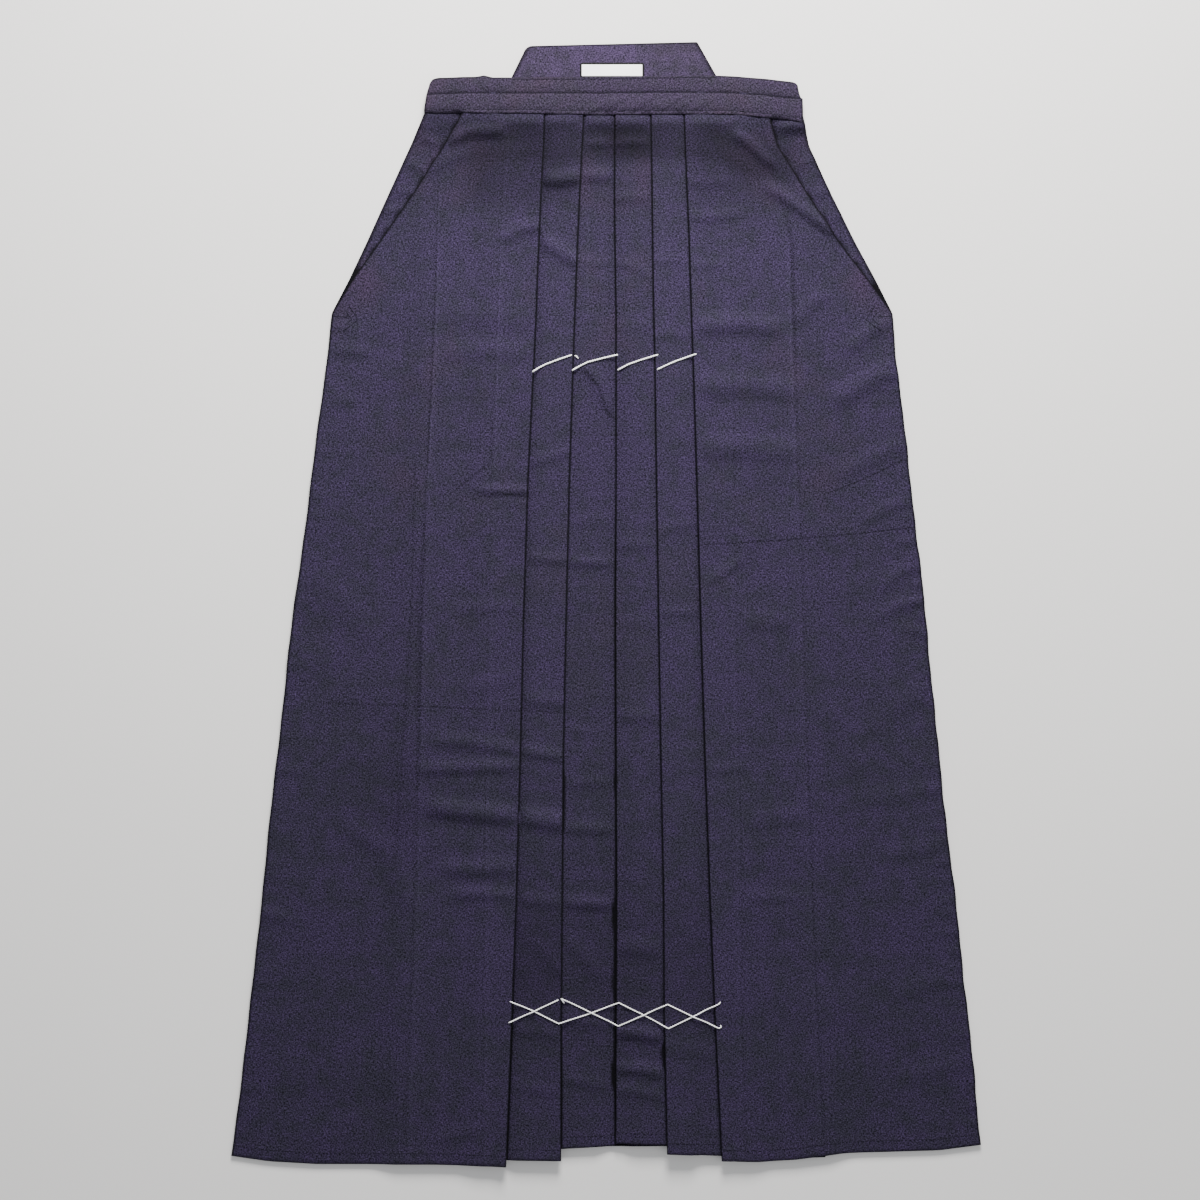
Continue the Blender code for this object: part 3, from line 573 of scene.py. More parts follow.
def section_edge(name, down):
    """An edge's x from SECTIONS, carried on straight past the last row."""
    down = np.asarray(down, float)
    downs, places = SECTIONS[:, 0], SECTIONS[:, SECTION_COLUMNS.index(name)]
    slope = (places[-1] - places[-2]) / (downs[-1] - downs[-2])
    return np.interp(down, downs, places) + slope * np.maximum(down - downs[-1], 0.0)


def seam_waver(side, down):
    """How far a side seam wavers from its line, more on the left leg."""
    rise = smooth((np.asarray(down, float) - SLIT_FOOT) / 60.0)
    if side > 0:
        waves = 0.22 * np.sin(down / 9.1) + 0.22 * np.sin(down / 5.3 + 1.0) + 0.35 * np.sin(down / 23.0 + 2.0)
    else:
        waves = 0.2 * np.sin(down / 8.3 + 2.0) + 0.35 * np.sin(down / 27.0)
    return rise * waves


def edge(name, down):
    """The x of any edge or inner fold by its name."""
    down = np.asarray(down, float)
    if name in SECTION_COLUMNS:
        side = {"right": -1, "left": 1}.get(name.split("_")[1])
        return section_edge(name, down) + (seam_waver(side, down) if side else 0.0)
    if name in STRAIGHT_EDGES:
        return np.full_like(down, STRAIGHT_EDGES[name])
    if name in PLEAT_DEPTHS:
        beside, depth, narrows = PLEAT_DEPTHS[name]
        share = WAIST_SHARE + (1.0 - WAIST_SHARE) * np.clip(down / FULL_DEPTH, 0.0, 1.0)
        return section_edge(beside, down) + depth * (share if narrows else 1.0)
    half = BACK_OPEN + BACK_SPREAD * np.clip(down / HEM, 0.0, 1.0)
    return BACK_MIDDLE + (half if name == "back_edge_left" else -half)


def cover(run, x, down, slope=SLOPE):
    """1 where a run holds up what lies on it, falling softly to 0 past its edges."""
    low, high = (edge(name, down) for name in RUNS[run][1:])
    past = np.maximum(np.maximum(low - SHOULDER - x, x - high - SHOULDER), 0.0)
    return smooth(1.0 - past / slope)


def flat_height(level, x, down):
    """Middle of the cloth of a run on the given level, before its folds and drape."""
    start = np.zeros(np.shape(x))
    slope = OUTER_SLOPE if level == OUTER_LEVEL else SLOPE
    back = sum((cover(run, x, down, slope) for run in RUNS if RUNS[run][0] < min(level, FRONT_LEVEL)), start)
    floor = half_thickness()
    rise = smooth(1.0 - down / BAND_FALL)
    if level < FRONT_LEVEL:
        whole = sum((cover(run, x, down) for run in RUNS if RUNS[run][0] < FRONT_LEVEL), start)
        return floor + PITCH * back + rise * np.maximum(BAND_BASE - BACK_ROOM - PITCH * (whole - 1.0), 0.0)
    front = sum((cover(run, x, down, slope) for run in RUNS if FRONT_LEVEL <= RUNS[run][0] < level), start)
    pressed = smooth(1.0 - down / PRESS_LENGTH) * between(x, -142.0, 154.0, 34.0, 34.0)
    return floor + PITCH * back * (1.0 - rise) + BAND_BASE * rise + PITCH * front * (1.0 - PRESS * pressed)


def ridge(points, half_width, x, down):
    """0 to 1: a soft ridge along a line of (x, down) points that dies away at its two ends."""
    points = np.asarray(points, float)
    steps = np.linalg.norm(np.diff(points, axis=0), axis=1)
    total, passed = steps.sum(), 0.0
    best, along = np.full(x.shape, 1e9), np.zeros(x.shape)
    for (x0, d0), (x1, d1), length in zip(points[:-1], points[1:], steps):
        ux, ud = (x1 - x0) / length, (d1 - d0) / length
        t = np.clip((x - x0) * ux + (down - d0) * ud, 0.0, length)
        distance = np.hypot(x - x0 - t * ux, down - d0 - t * ud)
        nearer = distance < best
        best, along = np.where(nearer, distance, best), np.where(nearer, passed + t, along)
        passed += length
    ends = smooth(np.minimum(along, total - along) / (0.22 * total) + 0.15)
    return np.maximum(1.0 - (best / half_width) ** 2, 0.0) ** 2 * ends


def seam_puckers(name, side, first, last, seed, strength):
    """Small ridges that run in from a seamed edge, uneven in spacing, length and height."""
    random = np.random.default_rng(seed)
    rows, down = [], first
    while down < last:
        length, tilt = random.uniform(6.0, 24.0), random.uniform(-5.0, 5.0)
        height, width = strength * random.uniform(0.3, 1.0), random.uniform(3.6, 6.0)
        x = float(edge(name, down))
        rows.append((height, width, (x + side * 6.0, down - tilt / 3), (x - side * length, down + tilt)))
        down += random.uniform(7.0, 21.0)
    return rows


def all_creases():
    """Every crease and pucker by the face that shows it."""
    found = {face: list(rows) for face, rows in CREASES.items()}
    for face, *seam in PUCKERS:
        found[face] += seam_puckers(*seam)
    return found


FACE_CREASES = all_creases()


def creases_at(face, x, down):
    """Height that a face's creases add at places on it."""
    total = np.zeros(x.shape)
    for height, half_width, *points in FACE_CREASES[face]:
        reach = half_width + 1.0
        xs, downs = zip(*points)
        near = ((x > min(xs) - reach) & (x < max(xs) + reach)
                & (down > min(downs) - reach) & (down < max(downs) + reach))
        if near.any():
            total[near] += height * ridge(points, half_width, x[near], down[near])
    return total


def drape(x, down):
    """The slow rise and fall of cloth that lies by itself, the same for every layer."""
    slow = (np.sin(x / 61.0 + down / 97.0 + 0.6) + np.sin(x / 37.0 - down / 71.0 + 2.1)
            + 0.7 * np.sin(x / 23.0 + down / 43.0 + 4.0) + 0.5 * np.sin(down / 29.0 - x / 83.0))
    bend = 9.0 * np.sin(x / 47.0 + 1.0) + 6.0 * np.sin(x / 19.0 + down / 120.0)
    across = 0.5 + 0.5 * np.sin(x / 52.0 + down / 83.0 + 1.4)
    slanting = 0.5 + 0.5 * np.sin(x / 90.0 - down / 61.0)
    rare = (0.5 + 0.5 * np.sin(x / 43.0 - down / 57.0 + 4.0)) ** 2
    quick = (np.sin((down + bend) / 11.3 + 0.5 * np.sin(x / 71.0)) * across * slanting
             + 0.6 * np.sin((down - bend) / 7.7 + 2.0) * rare)
    return (0.16 * (slow + 3.2) + 0.30 * (quick + 1.0)) * smooth(down / DRAPE_START)


def lift(level, x, down):
    """What creases and drape add to a layer: those of its own face, and a share of those that lie on it."""
    total = np.zeros(x.shape)
    for face, (top, low_name, low_dives, high_name, high_dives) in FACES.items():
        if top < level:
            continue
        window = np.ones(x.shape)
        for inside, dives in ((x - edge(low_name, down), low_dives), (edge(high_name, down) - x, high_dives)):
            if dives:
                window *= smooth(inside / 7.0)
            elif level < top:
                window *= smooth(1.0 + inside / 9.0)
        near = window > 0.0
        if near.any():
            here = creases_at(face, x[near], down[near]) * window[near]
            if level < top:
                here *= flat_height(level, x[near], down[near]) / flat_height(top, x[near], down[near])
            total[near] += here
    return cloth().crease_strength * total + cloth().drape_strength * drape(x, down)


def layer_height(level, x, down):
    """Middle of the cloth on a level, with its creases and drape."""
    return flat_height(level, x, down) + lift(level, x, down)


def band_value(name, x):
    """A column of BAND read at the x of the band's lower edge."""
    return np.interp(x, BAND[:, 0], BAND[:, BAND_COLUMNS.index(name)])


def painted_shade_and_darker_patches(run, x, down, below_band):
    """Share by which the cloth is painted darker: painted shade in a belt under the band and in a lower one,
    and in the listed darker patches.
    """
    # the belts are painted shade over the hollow below the band, the lower one on the right leg only
    hollow = 25.0 + 14.0 * smooth((x - 95.0) / 35.0)
    belt = 0.48 * smooth((24.0 - np.abs(below_band - hollow)) / 14.0) * (0.88 + 0.12 * np.sin(x / 13.0))
    belt *= (1.0 + 0.30 * np.exp(-((x - 26.0) / 32.0) ** 2)) * between(x, -150.0, 185.0, 50.0, 30.0)
    low_belt = 0.26 * between(below_band, 26.0, 94.0, 16.0, 22.0) * between(x, -140.0, -18.0, 28.0, 20.0)
    belt += (1.0 - belt) * low_belt
    for name, across, low, reach, tall, strength in DARKER_PATCHES:
        if run == name:
            away = ((x - across) / reach) ** 2 + ((down - low) / tall) ** 2
            belt += (1.0 - belt) * strength * np.exp(-away)
    return belt


def shade_at(run, x, down):
    """Painted shade: 1 in the narrow line of shade at an edge, on the fold that casts it and the cloth beside
    it, and also at rims and below the band.
    """
    level, shade = RUNS[run][0], np.zeros(x.shape)
    for name, above, below, side in SHADED:
        inside = side * (x - edge(name, down))
        slit = name.startswith("front")
        if level == above:
            strength, reach = SLIT_SHADE if slit else PLEAT_SHADE
            found = np.where(inside > -3.0, strength - np.maximum(inside, 0.0) / reach, 0.0)
        elif level == below:
            strength, reach = LOWER_SHADE
            # a wider painted shadow where a pleat is listed as standing open
            gap = np.interp(down, *zip(*WIDENED_SHADE.get(name, UNWIDENED_SHADE)))
            found = np.where(inside > 0.0, 1.0, strength + (inside + gap) / reach)
            found = np.where(inside > 6.0, 0.0, found)
        else:
            continue
        if slit:
            found = np.where(down < SLIT_FOOT, found, 0.0)
        shade = np.maximum(shade, found)
    for name, rim, side in RIMS:
        if run == name:
            shade = np.maximum(shade, RIM_SHADE * (1.0 + side * (x - edge(rim, down)) / RIM_WIDTH))
    below_band = down - band_value("bottom", x)
    # a painted shadow along the band's lower edge
    shade = np.maximum(shade, np.where(below_band > -8.0, 1.0 - below_band / 0.9, 0.0))
    lit = 1.0 - painted_shade_and_darker_patches(run, x, down, below_band)
    # painted shade that fades out over 150 mm below the band
    lit *= 1.0 - 0.25 * smooth(1.0 - np.maximum(below_band, 0.0) / 150.0)
    return np.clip(1.0 - (1.0 - np.maximum(shade, 0.0)) * lit, 0.0, 1.0)


def print_at(run, x, down):
    """Painted shade where a hidden fold presses through: a fine dark line with a painted lighter one on its
    inside.
    """
    marks = np.zeros(x.shape)
    for name, side, inside, strength, (first, last) in PAINTED_FOLD_LINES:
        if run == ("outer_right" if side < 0 else "outer_left"):
            past = side * (x - edge(name, down)) + inside
            more = between(down, first, last, 50.0, 50.0)
            dark = np.maximum(1.0 - np.abs(past - 0.4) / (1.2 + 1.6 * more), 0.0)
            light = np.maximum(1.0 - np.abs(past + 2.4) / 2.2, 0.0)
            marks += strength * (0.55 * light - (1.0 + 0.5 * more) * dark)
    return marks * smooth(down / DRAPE_START)


def offsets(width, near_low, near_high, spacing):
    """Places across a stretch of cloth, closer together beside an edge that shows."""
    fine = EDGE_STEPS if width > NARROW else ()
    low = [0.0, *(fine if near_low else ())]
    high = [width, *(width - step for step in (fine if near_high else ()))]
    gap = min(high) - max(low)
    inner = np.linspace(max(low), min(high), max(2, math.ceil(gap / spacing) + 1))[1:-1]
    return np.array(sorted([*low, *inner, *high])) / width


def run_grid(run, keys, downs, tails, trimmed):
    """x and down of a run's points, a row for each section and then for each step towards its hem."""
    middle = [float(edge(key, MIDWAY)) for key in keys]
    heading = 1 if middle[-1] > middle[0] else -1
    shares = []
    shows = [False] * len(keys)
    if run in FACES:
        low, high = (float(edge(FACES[run][i], MIDWAY)) for i in (1, 3))
        shows = [low < (start + end) / 2 < high for start, end in zip(middle, middle[1:])] + [False]
    hidden_spacing = BACK_SPACING if run.startswith("back_outer") else HIDDEN_SPACING
    for i, (start, end) in enumerate(zip(middle, middle[1:])):
        found = offsets(abs(end - start), shows[i] or shows[i - 1], shows[i] or shows[i + 1],
                        SHOWN_SPACING if shows[i] else hidden_spacing) + i
        shares += list(found if i == 0 else found[1:])
    shares = np.array(shares)
    segment = np.minimum(shares.astype(int), len(keys) - 2)
    share = shares - segment

    def across(down):
        places = np.array([np.broadcast_to(edge(key, down), down.shape) for key in keys])
        places[0] += heading * FOLD_REACH * trimmed[0]
        places[-1] -= heading * FOLD_REACH * trimmed[1]
        rows, columns = np.ogrid[:down.shape[0], :len(shares)]
        start, end = places[segment, rows, columns], places[segment + 1, rows, columns]
        return start + (end - start) * share

    upper = np.repeat(downs[:, None], len(shares), axis=1)
    lower = np.repeat(TAIL + tails[:, None] * (HEM - TAIL), len(shares), axis=1)
    for _ in range(3):
        lower = TAIL + tails[:, None] * (hem_down(run, across(lower)) - TAIL)
    return np.vstack((across(upper), across(lower))), np.vstack((upper, lower)), heading


def close_side_seams(run, x, down, z):
    """Brings the front and back cloth together along the side seams below the slits."""
    if "outer" not in run:
        return z
    seam_x = edge("front_" + run.split("_")[-1], down)
    share = smooth(1.0 - np.abs(x - seam_x) / 1.7) * smooth((down - SLIT_FOOT + 4.0) / 8.0)
    middle = (layer_height(0, seam_x, down) + layer_height(OUTER_LEVEL, seam_x, down)) / 2
    target = middle + (half_thickness() if run.startswith("outer") else -half_thickness())
    return z + share * (target - z)


def fold_columns(block, next_level, heading, growth):
    """The columns of a fold, which turns from the last column of a run to the level of the next run."""
    names = ("x", "down", "z", "u", "layers", "hem")
    x, down, start_z, u, layers, hem = (block[name][:, -1] for name in names)
    end_z = layer_height(next_level, x, down)
    middle, half = (start_z + end_z) / 2, np.abs(start_z - end_z) / 2
    falling, reach = np.sign(start_z - end_z), FOLD_REACH - half_thickness()
    columns = []
    for step in range(1, FOLD_STEPS):
        angle = math.pi * (0.5 - step / FOLD_STEPS)
        shade = FOLD_SHADES[step - 1 if falling[0] > 0 else -step]
        columns.append({name: values[:, None] for name, values in dict(
            x=x + heading * reach * math.cos(angle), down=down, z=middle + falling * half * math.sin(angle),
            u=u + growth * heading * half * (math.pi / 2 - angle), v=down, shade=np.full_like(x, shade),
            print=np.zeros_like(x), layers=layers, hem=hem).items()})
    return columns


def panel_rows(panel):
    """Points, weave counts, shade, layer counts and hem weights of a panel, as arrays of rows and columns."""
    chain = CHAINS[panel]
    head = PANEL_HEAD if panel.startswith("front") else BACK_HEAD
    first, last, spacing = CLOSE_ROWS
    downs = np.linspace(head, TAIL, math.ceil((TAIL - head) / ROW_SPACING) + 1)
    close = np.arange(max(head, first), last, spacing)
    downs = np.concatenate((downs[downs < first], close, downs[downs > last]))
    tails = np.append(np.linspace(0.0, 1.0, TAIL_ROWS + 1)[1:-1], (0.985, 1.0))
    blocks = []
    for place, (run, keys, (anchor, growth, base)) in enumerate(chain):
        goes_on = place < len(chain) - 1
        x, down, heading = run_grid(run, keys, downs, tails, (place > 0, goes_on))
        level = RUNS[run][0]
        hem = hem_down(run, x)
        weight = smooth((down - hem + HEM_TURN) / 1.5)
        if run.startswith("outer"):
            inside = np.abs(x - edge("front_" + run[6:], down))
            slit = smooth((SLIT_TURN - inside) / 1.5) * smooth((SLIT_FOOT + 6.0 - down) / 6.0)
            weight = np.maximum(weight, slit)
        blocks.append(dict(
            x=x, down=down, z=close_side_seams(run, x, down, layer_height(level, x, down)),
            u=base + growth * (x - edge(anchor, down)), v=down,
            shade=np.maximum(shade_at(run, x, down), HEM_SHADE * (1.0 - (hem - down) / HEM_SHADE_WIDTH)),
            print=print_at(run, x, down),
            layers=(flat_height(level, x, down) - flat_height(0, x, down)) / PITCH, hem=weight))
        if goes_on:
            blocks += fold_columns(blocks[-1], RUNS[chain[place + 1][0]][0], heading, growth)
    return {name: np.hstack([block[name] for block in blocks]) for name in blocks[0]}


def add_object(name, data):
    """An object in the scene that holds a mesh, light or camera."""
    obj = bpy.data.objects.new(name, data)
    bpy.context.scene.collection.objects.link(obj)
    return obj


def shade_smooth(mesh, values):
    """Shades a mesh smooth and gives its points their named values."""
    for key, numbers in values.items():
        layer = mesh.attributes.new(key, "FLOAT", "POINT")
        layer.data.foreach_set("value", numbers.astype(np.float32).ravel())
    mesh.polygons.foreach_set("use_smooth", [True] * len(mesh.polygons))


def stacked(rows):
    """Rows of named values made one array for each name."""
    return {name: np.array([row[name] for row in rows]) for name in rows[0]}


def mesh_from_grid(name, rows):
    """A mesh object from rows of points, with its weave as a UV map and its other values as attributes."""
    count, width = rows["x"].shape
    places = np.stack((rows["x"], WAIST_Y - rows["down"], rows["z"]), axis=-1).reshape(-1, 3) * MM
    index = np.arange(count * width).reshape(count, width)
    faces = np.stack((index[:-1, :-1], index[1:, :-1], index[1:, 1:], index[:-1, 1:]), axis=-1).reshape(-1, 4)
    mesh = bpy.data.meshes.new(name)
    mesh.from_pydata(places.tolist(), [], faces.tolist())
    weave = mesh.uv_layers.new(name="weave")
    corner = np.zeros(len(mesh.loops), int)
    mesh.loops.foreach_get("vertex_index", corner)
    uv = np.stack((rows["u"].ravel(), rows["v"].ravel()), axis=-1)[corner] * MM
    weave.data.foreach_set("uv", uv.astype(np.float32).ravel())
    shade_smooth(mesh, {key: rows[key] for key in ("shade", "print", "layers") if key in rows})
    obj = add_object(name, mesh)
    if "hem" in rows:
        group = obj.vertex_groups.new(name="hem")
        weights = np.round(np.clip(rows["hem"].ravel(), 0.0, 1.0), 1)
        for weight in np.unique(weights):
            if weight > 0.0:
                group.add(np.nonzero(weights == weight)[0].tolist(), float(weight), "REPLACE")
    return obj


def thicken(obj, thickness, hem_thickness=None):
    """Gives a sheet its thickness, doubled where its hem is turned up."""
    wall = obj.modifiers.new("Thickness", "SOLIDIFY")
    wall.thickness, wall.offset = (hem_thickness or thickness), 0.0
    wall.use_rim = True
    if hem_thickness:
        wall.vertex_group = "hem"
        wall.thickness_vertex_group = thickness / hem_thickness


def finish_piece(obj, material, slot_name, *nodes):
    """Gives a piece its material and its body, and hides the frame's parts that it stands for; the slot name
    is not used.
    """
    obj.data.materials.clear()
    obj.data.materials.append(material)
    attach(obj, BODY)
    if nodes:
        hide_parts(*nodes)


# Materials

def node(tree, kind, **values):
    """A node with its properties and the defaults of its named inputs set."""
    made = tree.nodes.new(kind)
    for key, value in values.items():
        if hasattr(made, key) and key not in made.inputs:
            setattr(made, key, value)
        else:
            made.inputs[key].default_value = value
    return made


def wire(tree, *rows):
    """Links nodes, each row a node, its output, the node that it feeds and that one's input."""
    for source, output, target, socket in rows:
        tree.links.new(source.outputs[output], target.inputs[socket])


def lay_out(tree):
    """Sets a tree's nodes out in columns, each node to the left of what it feeds."""
    column = {made.name: 0 for made in tree.nodes}
    ends = [(link.from_node.name, link.to_node.name) for link in tree.links]
    moved = True
    while moved:
        moved = False
        for source, target in ends:
            if column[source] <= column[target]:
                column[source], moved = column[target] + 1, True
    filled = dict.fromkeys(column.values(), 0)
    for made in tree.nodes:
        place = column[made.name]
        made.location = (-200.0 * place, -180.0 * filled[place])
        filled[place] += 1


def maths(tree, operation, *values, clamp=False):
    """A Math node on values, each a socket or a number."""
    made = node(tree, "ShaderNodeMath", operation=operation, use_clamp=clamp)
    for socket, value in zip(made.inputs, values):
        if isinstance(value, (int, float)):
            socket.default_value = value
        else:
            tree.links.new(value, socket)
    return made.outputs[0]


def colour_mix(tree, factor, first, second):
    """Two colours mixed by a factor, each a socket or a colour."""
    mix = node(tree, "ShaderNodeMix", data_type="RGBA")
    tree.links.new(factor, mix.inputs[0])
    for socket, colour in ((mix.inputs[6], first), (mix.inputs[7], second)):
        if isinstance(colour, bpy.types.NodeSocket):
            tree.links.new(colour, socket)
        else:
            socket.default_value = (*colour, 1.0)
    return mix.outputs[2]


def add_bump(tree, shader, height, strength, distance):
    """Raises a height in the shader's normal."""
    bump = node(tree, "ShaderNodeBump", Strength=strength, Distance=distance)
    tree.links.new(height, bump.inputs["Height"])
    tree.links.new(bump.outputs[0], shader.inputs["Normal"])


def new_material(name, sockets):
    """A material, its node tree and its shader with the named sockets set."""
    material = bpy.data.materials.new(name)
    material.use_nodes = True
    shader = material.node_tree.nodes["Principled BSDF"]
    for socket, value in sockets.items():
        shader.inputs[socket].default_value = value
    return material, material.node_tree, shader


def stretched_noise(tree, source, across, along, detail):
    """Noise on the weave's coordinates, with its own number of cells to the metre each way."""
    mapping = node(tree, "ShaderNodeMapping", Scale=(across, along, 1.0))
    noise = node(tree, "ShaderNodeTexNoise", Scale=1.0, Detail=detail, Roughness=0.6)
    tree.links.new(source, mapping.inputs["Vector"])
    wire(tree, (mapping, 0, noise, "Vector"))
    return noise.outputs["Fac"]


def fine_line(tree, start, finish, half_width):
    """1 on the middle of a thin line between two (x, down) places, falling to 0 at its sides."""
    (x0, y0), (x1, y1) = ((x * MM, (WAIST_Y - down) * MM) for x, down in (start, finish))
    length = math.hypot(x1 - x0, y1 - y0)
    ahead = ((x1 - x0) / length, (y1 - y0) / length, 0.0)
    offset = node(tree, "ShaderNodeVectorMath", operation="SUBTRACT")
    offset.inputs[1].default_value = (x0, y0, 0.0)
    wire(tree, (node(tree, "ShaderNodeTexCoord"), "Object", offset, 0))
    measures = []
    for direction in (ahead, (-ahead[1], ahead[0], 0.0)):
        measure = node(tree, "ShaderNodeVectorMath", operation="DOT_PRODUCT")
        measure.inputs[1].default_value = direction
        wire(tree, (offset, 0, measure, 0))
        measures.append(measure.outputs["Value"])
    along, across = measures
    slope = -1.0 / (half_width * MM)
    line = maths(tree, "MULTIPLY_ADD", maths(tree, "ABSOLUTE", across), slope, 1.0, clamp=True)
    begun, ended = maths(tree, "GREATER_THAN", along, 0.0), maths(tree, "LESS_THAN", along, length)
    return maths(tree, "MULTIPLY", line, maths(tree, "MULTIPLY", begun, ended))


def woven_material(name, colour, second_colour, grain, sheen=0.02, warmth=0.16, depth=0.93, painted_creases=()):
    """Plain woven cotton: crossing threads, slubs both ways, mottled dye and a soft sheen, darkened by
    painted shade.
    """
    material, tree, shader = new_material(name, {
        "Roughness": 0.82, "Specular IOR Level": 0.08, "Sheen Weight": sheen, "Sheen Roughness": 0.45,
        "Sheen Tint": (0.80, 0.74, 1.0, 1.0)})
    link = tree.links.new
    weave = node(tree, "ShaderNodeUVMap", uv_map="weave").outputs["UV"]
    split = node(tree, "ShaderNodeSeparateXYZ")
    link(weave, split.inputs[0])
    warp, weft, speck, mottle, cloud = (stretched_noise(tree, weave, *cells) for cells in WEAVE_NOISES)

    blend = maths(tree, "MULTIPLY_ADD", maths(tree, "ADD", mottle, cloud), 2.6, -2.1, clamp=True)
    dye = colour_mix(tree, blend, colour, second_colour)
    warm_colour = (colour[0] * (1.0 + warmth), colour[1], colour[2] * (1.0 - warmth / 4))
    patches = maths(tree, "MULTIPLY_ADD", cloud, 5.0, -2.7, clamp=True)
    upper = maths(tree, "MULTIPLY_ADD", split.outputs[1], -2.2, 1.35, clamp=True)
    dye = colour_mix(tree, maths(tree, "MULTIPLY", patches, upper), dye, warm_colour)

    tone = maths(tree, "MULTIPLY", maths(tree, "SUBTRACT", speck, 0.5), grain)
    for source, strength in ((warp, 0.9 * grain), (weft, 0.9 * grain), (cloud, 0.22)):
        part = maths(tree, "MULTIPLY", maths(tree, "SUBTRACT", source, 0.5), strength)
        tone = maths(tree, "ADD", tone, part)
    # layers makes the cloth a little lighter where more layers lie beneath; the fold line is painted shade
    # and highlight
    for mark_name, strength in (("layers", 0.012), ("print", 0.16)):
        mark = node(tree, "ShaderNodeAttribute", attribute_name=mark_name).outputs["Fac"]
        tone = maths(tree, "ADD", tone, maths(tree, "MULTIPLY", mark, strength))
    # painted crease shade, or a painted highlight where the strength is negative
    for start, finish, half_width, strength in painted_creases:
        line = fine_line(tree, start, finish, half_width)
        tone = maths(tree, "SUBTRACT", tone, maths(tree, "MULTIPLY", line, strength))
    tone = maths(tree, "MAXIMUM", maths(tree, "ADD", tone, 1.0), DARKEST_TONE)
    # painted shade from the shade attribute darkens the cloth by up to depth
    shade = node(tree, "ShaderNodeAttribute", attribute_name="shade").outputs["Fac"]
    tone = maths(tree, "MULTIPLY", tone, maths(tree, "MULTIPLY_ADD", shade, -depth, 1.0))
    toned = node(tree, "ShaderNodeVectorMath", operation="SCALE")
    link(dye, toned.inputs[0])
    link(tone, toned.inputs["Scale"])
    link(toned.outputs[0], shader.inputs["Base Color"])

    turns = 2 * math.pi / cloth().weave_pitch
    threads = [maths(tree, "SINE", maths(tree, "MULTIPLY", split.outputs[i], turns)) for i in (0, 1)]
    relief = maths(tree, "MULTIPLY", maths(tree, "MULTIPLY", *threads), 0.25)
    for source, strength in ((speck, 0.9), (weft, 0.7), (warp, 0.5)):
        relief = maths(tree, "ADD", relief, maths(tree, "MULTIPLY", source, strength))
    add_bump(tree, shader, relief, 0.35, 0.0004)
    lay_out(tree)
    return material


def uneven_material(name, colour, sockets, scale, detail, darkest, relief=None):
    """A plain colour made a little uneven by noise, raised by a relief of (strength, distance)."""
    material, tree, shader = new_material(name, sockets)
    noise = node(tree, "ShaderNodeTexNoise", Scale=scale, Detail=detail)
    wire(tree, (node(tree, "ShaderNodeTexCoord"), "Object", noise, "Vector"))
    height = noise.outputs["Fac"]
    mixed = colour_mix(tree, height, [darkest * part for part in colour], colour)
    tree.links.new(mixed, shader.inputs["Base Color"])
    if relief:
        add_bump(tree, shader, height, *relief)
    lay_out(tree)
    return material


def thread_material(name, colour, sheen):
    """Spun thread with a little uneven colour along it."""
    sockets = {"Roughness": 0.8, "Specular IOR Level": 0.15, "Sheen Weight": sheen}
    return uneven_material(name, colour, sockets, 900.0, 2.0, 0.90, (0.4, 0.0003))


def named_material(name):
    """One of the finishes, made when it is first asked for."""
    colours, threads = cloth(), thread()
    return bpy.data.materials.get(name) or {
        "cotton_of_the_panels": lambda: woven_material(
            name, colours.cloth_colour, colours.cloth_second_colour, 3.7, painted_creases=PAINTED_CREASE_LINES),
        "cotton_of_the_waistband": lambda: woven_material(
            name, colours.band_colour, colours.band_second_colour, 3.5),
        "cotton_of_the_board": lambda: woven_material(
            name, colours.board_colour, colours.band_second_colour, 3.0),
        "satin_of_the_label": lambda: woven_material(
            name, colours.label_colour, colours.label_colour, 0.12, 0.0, warmth=0.0, depth=0.992),
        "sewing_thread": lambda: thread_material(name, threads.sewing_colour, 0.0),
        "basting_thread": lambda: thread_material(name, threads.basting_colour, 0.2),
    }[name]()


# Geometry Nodes for sewing and threads

def new_tree(name, inputs):
    """An empty Geometry Nodes tree with a geometry in and out and the named inputs."""
    tree = bpy.data.node_groups.new(name, "GeometryNodeTree")
    tree.interface.new_socket("Geometry", in_out="INPUT", socket_type="NodeSocketGeometry")
    for label, kind, default in inputs:
        socket = tree.interface.new_socket(label, in_out="INPUT", socket_type=kind)
        if default is not None:
            socket.default_value = default
    tree.interface.new_socket("Geometry", in_out="OUTPUT", socket_type="NodeSocketGeometry")
    return tree


def finish_tree(tree, start, made):
    """Ends a tree: what a node makes is made real, shaded smooth and given its material."""
    real, soft, paint, end = (node(tree, kind) for kind in (
        "GeometryNodeRealizeInstances", "GeometryNodeSetShadeSmooth", "GeometryNodeSetMaterial",
        "NodeGroupOutput"))
    wire(tree, (made, 0, real, 0), (real, 0, soft, 0), (soft, 0, paint, 0),
         (start, "Material", paint, "Material"), (paint, 0, end, 0))
    lay_out(tree)
    return tree


